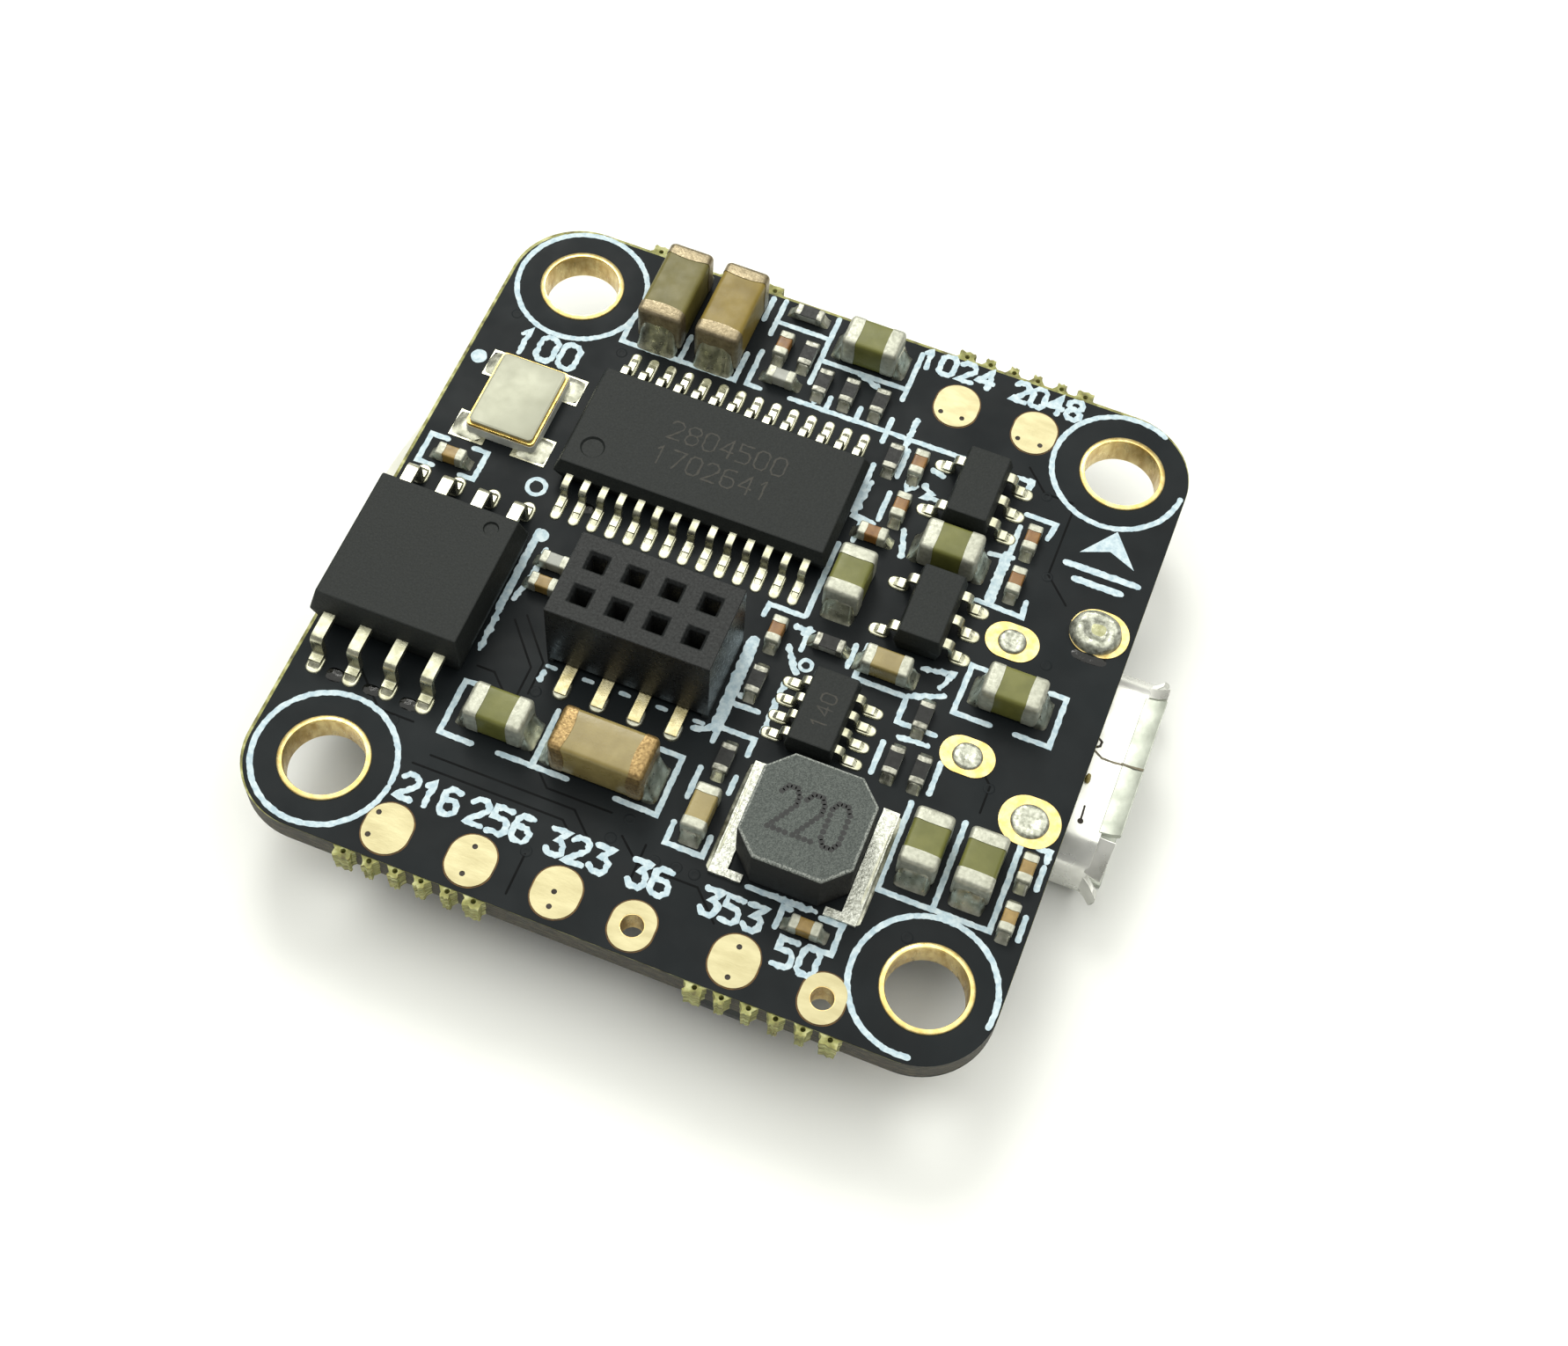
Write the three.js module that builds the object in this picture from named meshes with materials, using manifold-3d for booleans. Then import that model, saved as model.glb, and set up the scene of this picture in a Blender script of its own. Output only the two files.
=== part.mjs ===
// Drone flight controller board. A square circuit board on a 20 mm hole pattern carries chips,
// an inductor, a header socket and chip capacitors on top, and a micro-USB receptacle, a harness
// connector, the microcontroller, the sensors and a boot button underneath.
// Millimetres. +Z is up, +X points to the USB side and +Y to the rear edge. The origin is the
// centre of the hole pattern, on the surface that the board stands on.

import * as THREE from "three";
import { mergeVertices } from "three/addons/utils/BufferGeometryUtils.js";
import Module from "manifold-3d";

const wasm = await Module();
wasm.setup();

// ---------------------------------------------------------------- driving dimensions

const UNDERSIDE = 2.9; // height of the board's lower face: the connectors below reach the floor
const BOARD_THICKNESS = 1.0;
const TOP = UNDERSIDE + BOARD_THICKNESS;
const BOARD = { left: -12.6, right: 12.3, front: -12.5, rear: 12.45, cornerRadius: 2.5 };

const HOLE_PITCH = 20;
const HOLE = { boreRadius: 1.275, barrelRadius: 1.355, flangeRadius: 1.475, flangeThickness: 0.05 };
const BARREL_GAP = 0.02; // between a plated barrel and the board around it

// Stubs left where the board was snapped out of its panel: rounded notches between teeth.
const TAB = { teeth: 6, pitch: 0.87, length: 0.35, endToothHalfWidth: 0.37, notchRadius: 0.29 };
const TAB_CENTRES = [-5.9, 5.68];

const WIRE_HOLES = [[1.05, -11.52], [7.2, -11.5]];
const WIRE_HOLE_RADIUS = 0.42;

const OVERLAP = 0.1; // how far fused shapes reach into each other
const CLEARANCE = 0.05; // between separate pieces that sit inside one another
const STANDOFF = 0.1; // under a chip's body
const LEAD_BEND_SHARE = 0.45; // of a lead's reach, where it turns down to the board

const COLOUR = {
  solderMask: 0x2e3236,
  gold: 0xebcd82,
  steel: 0xd8d8d2,
  tin: 0xc8c8be,
  moulding: 0x3a3d3c,
  blackPlastic: 0x17181a,
  ivoryPlastic: 0xe8e6dc,
  ferrite: 0x5f6464,
  crystalLid: 0xe6dfc8,
  oliveCeramic: 0x8c8e5c,
  tanCeramic: 0xc4a064,
  brownCeramic: 0x966941,
  amberLens: 0xf0d9a0,
};

// ---------------------------------------------------------------- shape helpers

// A closed three.js geometry as a solid for adding and cutting.
function toSolid(geometry) {
  const bare = geometry.index ? geometry.toNonIndexed() : geometry.clone();
  bare.deleteAttribute("normal");
  bare.deleteAttribute("uv");
  const welded = mergeVertices(bare, 1e-4);
  return new wasm.Manifold(
    new wasm.Mesh({
      numProp: 3,
      vertProperties: new Float32Array(welded.attributes.position.array),
      triVerts: new Uint32Array(welded.index.array),
    }),
  );
}

function toGeometry(solid) {
  const mesh = solid.getMesh();
  const geometry = new THREE.BufferGeometry();
  geometry.setAttribute("position", new THREE.BufferAttribute(mesh.vertProperties, 3));
  geometry.setIndex(new THREE.BufferAttribute(mesh.triVerts, 1));
  return geometry;
}

// Box between two opposite corners.
function block([x0, y0, z0], [x1, y1, z1]) {
  const geometry = new THREE.BoxGeometry(x1 - x0, y1 - y0, z1 - z0);
  geometry.translate((x0 + x1) / 2, (y0 + y1) / 2, (z0 + z1) / 2);
  return toSolid(geometry);
}

// Upright cylinder centred on x, y.
function disc(x, y, radius, z0, z1, sides = 24) {
  const geometry = new THREE.CylinderGeometry(radius, radius, z1 - z0, sides);
  geometry.rotateX(Math.PI / 2);
  geometry.translate(x, y, (z0 + z1) / 2);
  return toSolid(geometry);
}

// Plan outline raised from z0 to z1.
function plate(outline, z0, z1, curveSegments = 6) {
  const options = { depth: z1 - z0, bevelEnabled: false, curveSegments };
  const geometry = new THREE.ExtrudeGeometry(outline, options);
  geometry.translate(0, 0, z0);
  return toSolid(geometry);
}

// Side profile of (distance outwards, height) points, as wide as asked, facing the way that
// `turn` turns +X about the upright axis, with its zero distance at x, y.
function profileSolid(points, width, x, y, turn) {
  const outline = new THREE.Shape(points.map(([out, up]) => new THREE.Vector2(out, up)));
  const geometry = new THREE.ExtrudeGeometry(outline, { depth: width, bevelEnabled: false });
  geometry.translate(0, 0, -width / 2);
  geometry.rotateX(Math.PI / 2);
  geometry.rotateZ(turn);
  geometry.translate(x, y, 0);
  return toSolid(geometry);
}

function union(solids) {
  return solids.reduce((sum, solid) => sum.add(solid));
}

function roundedRectangle(left, right, front, rear, radius) {
  const shape = new THREE.Shape();
  shape.absarc(right - radius, front + radius, radius, -Math.PI / 2, 0);
  shape.absarc(right - radius, rear - radius, radius, 0, Math.PI / 2);
  shape.absarc(left + radius, rear - radius, radius, Math.PI / 2, Math.PI);
  shape.absarc(left + radius, front + radius, radius, Math.PI, Math.PI * 1.5);
  shape.closePath();
  return shape;
}

const board = new THREE.Group();

// Adds one named piece with a material of its own.
function addPiece(name, shape, color, roughness, metalness = 0) {
  const geometry = shape.isBufferGeometry ? shape : toGeometry(shape);
  const material = new THREE.MeshStandardMaterial({ color, roughness, metalness });
  const mesh = new THREE.Mesh(geometry, material);
  mesh.name = name;
  board.add(mesh);
  return mesh;
}

// ---------------------------------------------------------------- circuit board and plated holes

const HOLE_CORNERS = {
  front_left: [-HOLE_PITCH / 2, -HOLE_PITCH / 2],
  front_right: [HOLE_PITCH / 2, -HOLE_PITCH / 2],
  rear_left: [-HOLE_PITCH / 2, HOLE_PITCH / 2],
  rear_right: [HOLE_PITCH / 2, HOLE_PITCH / 2],
};

// Slots for the receptacle's shell legs: centre and half sizes.
const SHELL_LEGS = [
  { x: 11.15, y: 3.7, halfX: 0.5, halfY: 0.2 },
  { x: 11.15, y: -3.6, halfX: 0.5, halfY: 0.2 },
  { x: 8.6, y: 2.3, halfX: 0.3, halfY: 0.3 },
  { x: 8.6, y: -2.2, halfX: 0.3, halfY: 0.3 },
];
const SLOT_GAP = 0.1;
// Web between a front leg and the side wall: how far it laps both, and reaches below the bevel.
const WEB = { grip: 0.15, drop: 0.5 };

function breakOffTabs(edgeY, outwards) {
  const halfWidth = ((TAB.teeth - 1) * TAB.pitch) / 2 + TAB.endToothHalfWidth;
  const tipY = edgeY + outwards * TAB.length;
  const y0 = Math.min(tipY, edgeY - outwards);
  const y1 = Math.max(tipY, edgeY - outwards);
  return TAB_CENTRES.map((centre) => {
    let tab = block([centre - halfWidth, y0, UNDERSIDE], [centre + halfWidth, y1, TOP]);
    for (let gap = 0; gap < TAB.teeth - 1; gap++) {
      const x = centre + (gap - (TAB.teeth - 2) / 2) * TAB.pitch;
      tab = tab.subtract(disc(x, tipY, TAB.notchRadius, UNDERSIDE - 1, TOP + 1, 12));
    }
    return tab;
  });
}

function makeCircuitBoard() {
  const { left, right, front, rear, cornerRadius } = BOARD;
  const outline = roundedRectangle(left, right, front, rear, cornerRadius);
  let body = plate(outline, UNDERSIDE, TOP);
  body = union([body, ...breakOffTabs(front, -1), ...breakOffTabs(rear, 1)]);
  for (const [x, y] of Object.values(HOLE_CORNERS)) {
    body = body.subtract(disc(x, y, HOLE.barrelRadius + BARREL_GAP, UNDERSIDE - 1, TOP + 1));
  }
  for (const [x, y] of WIRE_HOLES) {
    body = body.subtract(disc(x, y, WIRE_HOLE_RADIUS, UNDERSIDE - 1, TOP + 1, 12));
  }
  for (const { x, y, halfX, halfY } of SHELL_LEGS) {
    const low = [x - halfX - SLOT_GAP, y - halfY - SLOT_GAP, UNDERSIDE - 1];
    const high = [x + halfX + SLOT_GAP, y + halfY + SLOT_GAP, TOP + 1];
    body = body.subtract(block(low, high));
  }
  return body;
}

// Plated eyelet: a barrel through the board with a thin flange on each face.
function platedHole() {
  const { boreRadius, barrelRadius, flangeRadius, flangeThickness } = HOLE;
  const profile = [
    [boreRadius, UNDERSIDE - flangeThickness],
    [flangeRadius, UNDERSIDE - flangeThickness],
    [flangeRadius, UNDERSIDE],
    [barrelRadius, UNDERSIDE],
    [barrelRadius, TOP],
    [flangeRadius, TOP],
    [flangeRadius, TOP + flangeThickness],
    [boreRadius, TOP + flangeThickness],
    [boreRadius, UNDERSIDE - flangeThickness],
  ];
  const points = profile.map(([radius, height]) => new THREE.Vector2(radius, height));
  return new THREE.LatheGeometry(points, 24).rotateX(Math.PI / 2);
}

addPiece("circuit_board", makeCircuitBoard(), COLOUR.solderMask, 0.45);
for (const [corner, [x, y]] of Object.entries(HOLE_CORNERS)) {
  const ring = addPiece(`mounting_ring_${corner}`, platedHole(), COLOUR.gold, 0.35, 0.9);
  ring.position.set(x, y, 0);
}

// ---------------------------------------------------------------- micro-USB receptacle, underneath

const USB = {
  backX: 8.2,
  mouthX: 13.45,
  lipX: 13.99,
  halfWidth: 3.75,
  flatHalfWidth: 2.95, // the face against the board is narrower, with a bevel down each side
  bevelDrop: 0.85,
  bottom: 0.3,
  bottomChamfer: 0.35,
  wall: 0.25,
  lipRise: 0.35, // of the upper lip's tip above the shell
  lipSetBack: 0.3, // from each corner of the shell to the end of a lip
  earReach: 0.45, // of an ear's tip beyond the shell's side
  earLow: 0.65,
  earHigh: 1.85,
  tongueHalfWidth: 1.85,
  tongueLow: 1.5,
  tongueHigh: 2.05,
  tongueTip: 12.9,
  backBlock: 1.2, // depth of the plastic that closes the shell's back
};

// Outline of the shell seen from its mouth, moved inwards by `inset`.
function usbSection(inset) {
  const side = USB.halfWidth - inset;
  const flat = USB.flatHalfWidth - inset * 0.5;
  const roof = UNDERSIDE - inset;
  const floor = USB.bottom + inset;
  const shoulder = UNDERSIDE - USB.bevelDrop - inset * 0.5;
  const chamfer = USB.bottomChamfer;
  return [
    [-side + chamfer, floor],
    [side - chamfer, floor],
    [side, floor + chamfer],
    [side, shoulder],
    [flat, roof],
    [-flat, roof],
    [-side, shoulder],
    [-side, floor + chamfer],
  ];
}

// A section of (y, z) points run along X.
function alongX(section, x0, x1) {
  const outline = new THREE.Shape(section.map(([y, z]) => new THREE.Vector2(y, z)));
  const geometry = new THREE.ExtrudeGeometry(outline, { depth: x1 - x0, bevelEnabled: false });
  geometry.rotateY(Math.PI / 2);
  geometry.rotateX(Math.PI / 2);
  geometry.translate(x0, 0, 0);
  return toSolid(geometry);
}

// Flared lips on the mouth: above, below, and an ear on each side.
function usbLips() {
  const { mouthX, lipX, flatHalfWidth, halfWidth, wall, bottom, bottomChamfer } = USB;
  const { lipRise, lipSetBack, earReach, earLow, earHigh } = USB;
  const root = mouthX - OVERLAP;
  const upper = [[root, UNDERSIDE - wall], [lipX, UNDERSIDE + lipRise - wall],
    [lipX, UNDERSIDE + lipRise], [root, UNDERSIDE]];
  const lower = [[root, bottom], [lipX, 0], [lipX, wall], [root, bottom + wall]];
  const ears = [-1, 1].map((side) => {
    const corners = [
      [root, halfWidth - wall],
      [lipX, halfWidth + earReach - wall],
      [lipX, halfWidth + earReach],
      [root, halfWidth],
    ];
    const outline = corners.map(([x, out]) => new THREE.Vector2(x, side * out));
    return plate(new THREE.Shape(outline), earLow, earHigh);
  });
  return [
    profileSolid(upper, 2 * (flatHalfWidth - lipSetBack), 0, 0, 0),
    profileSolid(lower, 2 * (halfWidth - bottomChamfer - lipSetBack), 0, 0, 0),
    ...ears,
  ];
}

function makeUsbShell() {
  const { backX, mouthX, wall } = USB;
  const tube = alongX(usbSection(0), backX, mouthX).subtract(
    alongX(usbSection(wall), backX - 1, mouthX + 1),
  );
  const legs = SHELL_LEGS.map(({ x, y, halfX, halfY }) => {
    const low = [x - halfX, y - halfY, UNDERSIDE - USB.wall];
    return block(low, [x + halfX, y + halfY, TOP]);
  });
  // The front legs fold down outside the bevel, so each reaches the side wall by a short web.
  const webs = SHELL_LEGS.slice(0, 2).map(({ x, y, halfX }) => {
    const wallY = Math.sign(y) * (USB.halfWidth - wall / 2);
    const y0 = Math.min(y, wallY) - WEB.grip;
    const y1 = Math.max(y, wallY) + WEB.grip;
    const foot = UNDERSIDE - USB.bevelDrop - WEB.drop;
    return block([x - halfX, y0, foot], [x + halfX, y1, UNDERSIDE]);
  });
  return union([tube, ...legs, ...webs, ...usbLips()]);
}

// Plastic tongue with the block that closes the shell's back.
function makeUsbTongue() {
  const { backX, backBlock, tongueHalfWidth, tongueLow, tongueHigh, tongueTip } = USB;
  const rear = alongX(usbSection(USB.wall + CLEARANCE), backX, backX + backBlock);
  const tongue = block(
    [backX + backBlock - OVERLAP, -tongueHalfWidth, tongueLow],
    [tongueTip, tongueHalfWidth, tongueHigh],
  );
  return rear.add(tongue);
}

addPiece("usb_shell", makeUsbShell(), COLOUR.steel, 0.3, 0.9);
addPiece("usb_tongue", makeUsbTongue(), COLOUR.blackPlastic, 0.6);

// ---------------------------------------------------------------- harness connector, underneath

const HARNESS = {
  mouthX: -13.3,
  mouthBow: 0.45, // how far the mouth's face curves back towards its ends
  backX: -9.45,
  halfWidth: 3.98,
  wall: 0.55,
  pocketDepth: 2.9,
  pocketFloor: 0.6,
  pocketRoof: 2.2,
  latchHalfWidth: 2.1,
  latchDrop: 0.25,
};

// Plan of the housing, with its bowed mouth.
function harnessPlan() {
  const { mouthX, mouthBow, backX, halfWidth } = HARNESS;
  const stations = [-1, -0.75, -0.5, -0.25, 0, 0.25, 0.5, 0.75, 1];
  const mouth = stations.map((t) => new THREE.Vector2(mouthX + mouthBow * t * t, t * halfWidth));
  const back = [new THREE.Vector2(backX, halfWidth), new THREE.Vector2(backX, -halfWidth)];
  return new THREE.Shape([...mouth, ...back]);
}

function makeHarnessConnector() {
  const { mouthX, halfWidth, wall, pocketDepth } = HARNESS;
  const housing = plate(harnessPlan(), 0, UNDERSIDE);
  const pocket = block(
    [mouthX - 1, -halfWidth + wall, HARNESS.pocketFloor],
    [mouthX + pocketDepth, halfWidth - wall, HARNESS.pocketRoof],
  );
  const latchSlot = block(
    [mouthX - 1, -HARNESS.latchHalfWidth, HARNESS.pocketFloor - HARNESS.latchDrop],
    [mouthX + pocketDepth, HARNESS.latchHalfWidth, HARNESS.pocketFloor + OVERLAP],
  );
  return housing.subtract(pocket).subtract(latchSlot);
}

addPiece("harness_connector", makeHarnessConnector(), COLOUR.ivoryPlastic, 0.5);

// ---------------------------------------------------------------- boot button, underneath

const BUTTON = {
  x: -4.6,
  y: 9.3,
  halfX: 1.95,
  halfY: 1.45,
  baseBottom: 1.6,
  pocketRadius: 1.15,
  pocketRoof: 2.6,
  coverThickness: 0.12,
  coverHoleRadius: 0.88,
  clipHalfX: 1.2,
  clipHeight: 0.9,
  plungerRadius: 0.75,
  plungerBottom: 0.9,
  plungerChamfer: 0.08,
  flangeRadius: 1.0,
  flangeGap: 0.02, // above the cover
  flangeThickness: 0.2,
  bossRadius: 0.45,
  bossHeight: 0.22,
};

function makeButtonBase() {
  const { x, y, halfX, halfY, baseBottom, pocketRadius, pocketRoof } = BUTTON;
  const base = block([x - halfX, y - halfY, baseBottom], [x + halfX, y + halfY, UNDERSIDE]);
  return base.subtract(disc(x, y, pocketRadius, baseBottom - 1, pocketRoof));
}

// Sheet cover under the base, with a side clip along each long side.
function makeButtonCover() {
  const { x, y, halfX, halfY, baseBottom, coverThickness, coverHoleRadius } = BUTTON;
  const { clipHalfX, clipHeight } = BUTTON;
  const low = baseBottom - coverThickness;
  const outer = halfY + coverThickness;
  const sheet = block([x - halfX, y - outer, low], [x + halfX, y + outer, baseBottom]);
  const clips = [-1, 1].map((side) => {
    const y0 = Math.min(y + side * halfY, y + side * outer);
    const high = baseBottom + clipHeight;
    return block([x - clipHalfX, y0, low], [x + clipHalfX, y0 + coverThickness, high]);
  });
  return union([sheet, ...clips]).subtract(disc(x, y, coverHoleRadius, low - 1, baseBottom + 1));
}

// Stem with a flange that the cover keeps in, and a boss that meets the dome.
function makeButtonPlunger() {
  const { baseBottom, plungerRadius, plungerBottom, plungerChamfer, flangeRadius } = BUTTON;
  const flangeBottom = baseBottom + BUTTON.flangeGap;
  const flangeTop = flangeBottom + BUTTON.flangeThickness;
  const bossTop = flangeTop + BUTTON.bossHeight;
  const profile = [
    [0, plungerBottom],
    [plungerRadius - plungerChamfer, plungerBottom],
    [plungerRadius, plungerBottom + plungerChamfer],
    [plungerRadius, flangeBottom],
    [flangeRadius, flangeBottom],
    [flangeRadius, flangeTop],
    [BUTTON.bossRadius, flangeTop],
    [BUTTON.bossRadius, bossTop],
    [0, bossTop],
  ];
  const points = profile.map(([radius, height]) => new THREE.Vector2(radius, height));
  return new THREE.LatheGeometry(points, 24).rotateX(Math.PI / 2);
}

// Snap dome in the roof of the pocket, bulging down towards the boss.
function makeButtonDome() {
  const { pocketRoof } = BUTTON;
  const rim = 1.0;
  const rise = 0.22;
  const sheet = 0.04;
  const steps = [0, 0.25, 0.5, 0.75, 1];
  const bulge = (share) => pocketRoof - rise * (1 - share * share);
  const under = steps.map((share) => new THREE.Vector2(rim * share, bulge(share) - sheet));
  const above = steps.map((share) => new THREE.Vector2(rim * share, bulge(share))).reverse();
  return new THREE.LatheGeometry([...under, ...above], 20).rotateX(Math.PI / 2);
}

addPiece("boot_button_base", makeButtonBase(), COLOUR.blackPlastic, 0.6);
addPiece("boot_button_cover", makeButtonCover(), COLOUR.steel, 0.35, 0.9);
for (const [name, shape, color, roughness, metalness] of [
  ["boot_button_plunger", makeButtonPlunger(), COLOUR.blackPlastic, 0.5, 0],
  ["boot_button_dome", makeButtonDome(), COLOUR.steel, 0.3, 0.9],
]) {
  addPiece(name, shape, color, roughness, metalness).position.set(BUTTON.x, BUTTON.y, 0);
}

// ---------------------------------------------------------------- chips with leads

// A moulded body with bent leads along two or four sides. `up` is 1 on top of the board and -1
// underneath. Each side gives its outward turn from +X, its lead count and its lead pitch.
function makeLeadedChip(chip, up) {
  const { sizeX, sizeY, height, span, leadWidth, leadThickness, sides } = chip;
  const middle = STANDOFF + height / 2;
  const body = block([-sizeX / 2, -sizeY / 2, STANDOFF], [sizeX / 2, sizeY / 2, STANDOFF + height]);
  const leads = sides.flatMap(({ turn, count, pitch }) => {
    const alongSide = Math.abs(Math.cos(turn)) > 0.5 ? sizeX / 2 : sizeY / 2;
    const shoulder = alongSide + (span / 2 - alongSide) * LEAD_BEND_SHARE;
    const half = leadThickness / 2;
    const profile = [
      [alongSide - OVERLAP, middle - half],
      [shoulder - half, middle - half],
      [shoulder - half, 0],
      [span / 2, 0],
      [span / 2, leadThickness],
      [shoulder + half, leadThickness],
      [shoulder + half, middle + half],
      [alongSide - OVERLAP, middle + half],
    ];
    return Array.from({ length: count }, (_, index) => {
      const along = (index - (count - 1) / 2) * pitch;
      const x = -Math.sin(turn) * along;
      const y = Math.cos(turn) * along;
      return profileSolid(profile, leadWidth, x, y, turn);
    });
  });
  const geometry = toGeometry(union([body, ...leads]));
  if (up < 0) {
    geometry.rotateX(Math.PI);
  }
  return geometry.translate(chip.x, chip.y, up > 0 ? TOP : UNDERSIDE);
}

const TO_RIGHT = 0;
const TO_REAR = Math.PI / 2;
const TO_LEFT = Math.PI;
const TO_FRONT = -Math.PI / 2;

function row(turn, count, pitch) {
  return { turn, count, pitch };
}

const SMALL_REGULATOR = {
  sizeX: 1.6, sizeY: 2.9, height: 1.1, span: 2.85, leadWidth: 0.4, leadThickness: 0.15,
  sides: [row(TO_RIGHT, 3, 0.95), row(TO_LEFT, 2, 1.9)],
};

const TOP_CHIPS = {
  osd_chip: {
    x: -2.8, y: 4.42, sizeX: 9.7, sizeY: 4.4, height: 1.0, span: 6.4,
    leadWidth: 0.24, leadThickness: 0.14,
    sides: [row(TO_FRONT, 14, 0.65), row(TO_REAR, 14, 0.65)],
  },
  flash_chip: {
    x: -9.85, y: -3.2, sizeX: 5.25, sizeY: 5.25, height: 1.8, span: 7.9,
    leadWidth: 0.42, leadThickness: 0.2,
    sides: [row(TO_FRONT, 4, 1.27), row(TO_REAR, 4, 1.27)],
  },
  regulator_rear: { x: 5.72, y: 6.93, ...SMALL_REGULATOR },
  regulator_middle: { x: 5.82, y: 1.98, ...SMALL_REGULATOR },
  buck_converter: {
    x: 3.92, y: -2.87, sizeX: 1.6, sizeY: 2.9, height: 0.95, span: 2.85,
    leadWidth: 0.32, leadThickness: 0.14,
    sides: [row(TO_RIGHT, 4, 0.65), row(TO_LEFT, 4, 0.65)],
  },
};

const MICROCONTROLLER = {
  x: -0.6, y: 0, sizeX: 7, sizeY: 7, height: 1.4, span: 9, leadWidth: 0.22, leadThickness: 0.14,
  sides: [TO_RIGHT, TO_REAR, TO_LEFT, TO_FRONT].map((turn) => row(turn, 12, 0.5)),
};

for (const [name, chip] of Object.entries(TOP_CHIPS)) {
  addPiece(name, makeLeadedChip(chip, 1), COLOUR.moulding, 0.65);
}
addPiece("microcontroller", makeLeadedChip(MICROCONTROLLER, -1), COLOUR.moulding, 0.65);

// ---------------------------------------------------------------- flat leadless parts

// Plain block on the board: `up` is 1 on top and -1 underneath.
function leadless({ x, y, sizeX, sizeY, height }, up = 1) {
  const z0 = up > 0 ? TOP : UNDERSIDE - height;
  return block([x - sizeX / 2, y - sizeY / 2, z0], [x + sizeX / 2, y + sizeY / 2, z0 + height]);
}

const osdCrystal = { x: -9.9, y: 4.4, sizeX: 2.5, sizeY: 3.2, height: 0.7 };
const mcuCrystal = { x: -6.6, y: -6.6, sizeX: 3.2, sizeY: 2.5, height: 0.7 };
const motionSensor = { x: 0.4, y: 9.2, sizeX: 4, sizeY: 4, height: 0.9 };
const barometer = { x: 4.9, y: 9.2, sizeX: 2.5, sizeY: 2, height: 0.95 };
const BAROMETER_VENT = { x: 5.6, y: 9.7, radius: 0.18, depth: 0.4 };
const protectionDiode = { x: 4.4, y: -11.65, sizeX: 1.8, sizeY: 1.6, height: 1.1 };
const statusLight = { x: -4.6, y: -11.3, sizeX: 1.6, sizeY: 0.8, height: 0.6 };

// The barometer breathes through a small hole in its lid.
function makeBarometer() {
  const lid = UNDERSIDE - barometer.height;
  const { x, y, radius, depth } = BAROMETER_VENT;
  return leadless(barometer, -1).subtract(disc(x, y, radius, lid - 1, lid + depth, 12));
}

addPiece("osd_crystal", leadless(osdCrystal), COLOUR.crystalLid, 0.35, 0.3);
addPiece("microcontroller_crystal", leadless(mcuCrystal, -1), COLOUR.crystalLid, 0.35, 0.3);
addPiece("motion_sensor", leadless(motionSensor, -1), COLOUR.moulding, 0.6);
addPiece("barometer", makeBarometer(), COLOUR.steel, 0.35, 0.8);
addPiece("protection_diode", leadless(protectionDiode, -1), COLOUR.blackPlastic, 0.5);
addPiece("status_light", leadless(statusLight, -1), COLOUR.amberLens, 0.3);

// ---------------------------------------------------------------- power inductor

const INDUCTOR = { x: 4.9, y: -6.97, half: 1.87, chamfer: 0.75, height: 2.0 };
// Flat terminal on the board beside the core, whose front end turns in under the chamfer.
const TERMINAL = { reach: 0.55, halfLength: 2.03, height: 0.14, footLength: 0.52, footWidth: 0.28 };

function makeInductorCore() {
  const { x, y, half, chamfer, height } = INDUCTOR;
  const near = half - chamfer;
  const corners = [
    [near, -half], [half, -near], [half, near], [near, half],
    [-near, half], [-half, near], [-half, -near], [-near, -half],
  ];
  const outline = new THREE.Shape(corners.map(([dx, dy]) => new THREE.Vector2(x + dx, y + dy)));
  return plate(outline, TOP, TOP + height);
}

function makeInductorTerminal(side) {
  const { x, y, half } = INDUCTOR;
  const { reach, halfLength, height, footLength, footWidth } = TERMINAL;
  // Plate between two distances outwards from the core's centre.
  const span = (from, to, front, rear) => {
    const edges = [x + side * from, x + side * to];
    return block([Math.min(...edges), front, TOP], [Math.max(...edges), rear, TOP + height]);
  };
  const front = y - halfLength;
  const bar = span(half, half + reach, front, y + halfLength);
  return bar.add(span(half - footLength, half + OVERLAP, front, front + footWidth));
}

addPiece("inductor_core", makeInductorCore(), COLOUR.ferrite, 0.8);
addPiece("inductor_terminal_left", makeInductorTerminal(-1), COLOUR.tin, 0.35, 0.8);
addPiece("inductor_terminal_right", makeInductorTerminal(1), COLOUR.tin, 0.35, 0.8);

// ---------------------------------------------------------------- header socket, two rows of four

const SOCKET = {
  x: -2.25,
  y: -2.63,
  columns: 4,
  pitch: 1.27,
  halfX: 2.77,
  halfY: 1.54,
  height: 3.3,
  channelHeight: 0.24,
  endWall: 0.22,
  holeHalf: 0.31,
  footEnd: 2.52, // from the socket's centre line to a foot's tip
  contactWidth: 0.42,
  contactThickness: 0.15,
  contactTop: 2.6,
};

function makeSocketBody() {
  const { x, y, columns, pitch, halfX, halfY, height, channelHeight, endWall, holeHalf } = SOCKET;
  let body = block([x - halfX, y - halfY, TOP], [x + halfX, y + halfY, TOP + height]);
  body = body.subtract(
    block(
      [x - halfX + endWall, y - halfY - 1, TOP - 1],
      [x + halfX - endWall, y + halfY + 1, TOP + channelHeight],
    ),
  );
  for (let column = 0; column < columns; column++) {
    for (const rowSide of [-1, 1]) {
      const holeX = x + (column - (columns - 1) / 2) * pitch;
      const holeY = y + (rowSide * pitch) / 2;
      const low = [holeX - holeHalf, holeY - holeHalf, TOP];
      body = body.subtract(block(low, [holeX + holeHalf, holeY + holeHalf, TOP + height + 1]));
    }
  }
  return body;
}

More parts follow.
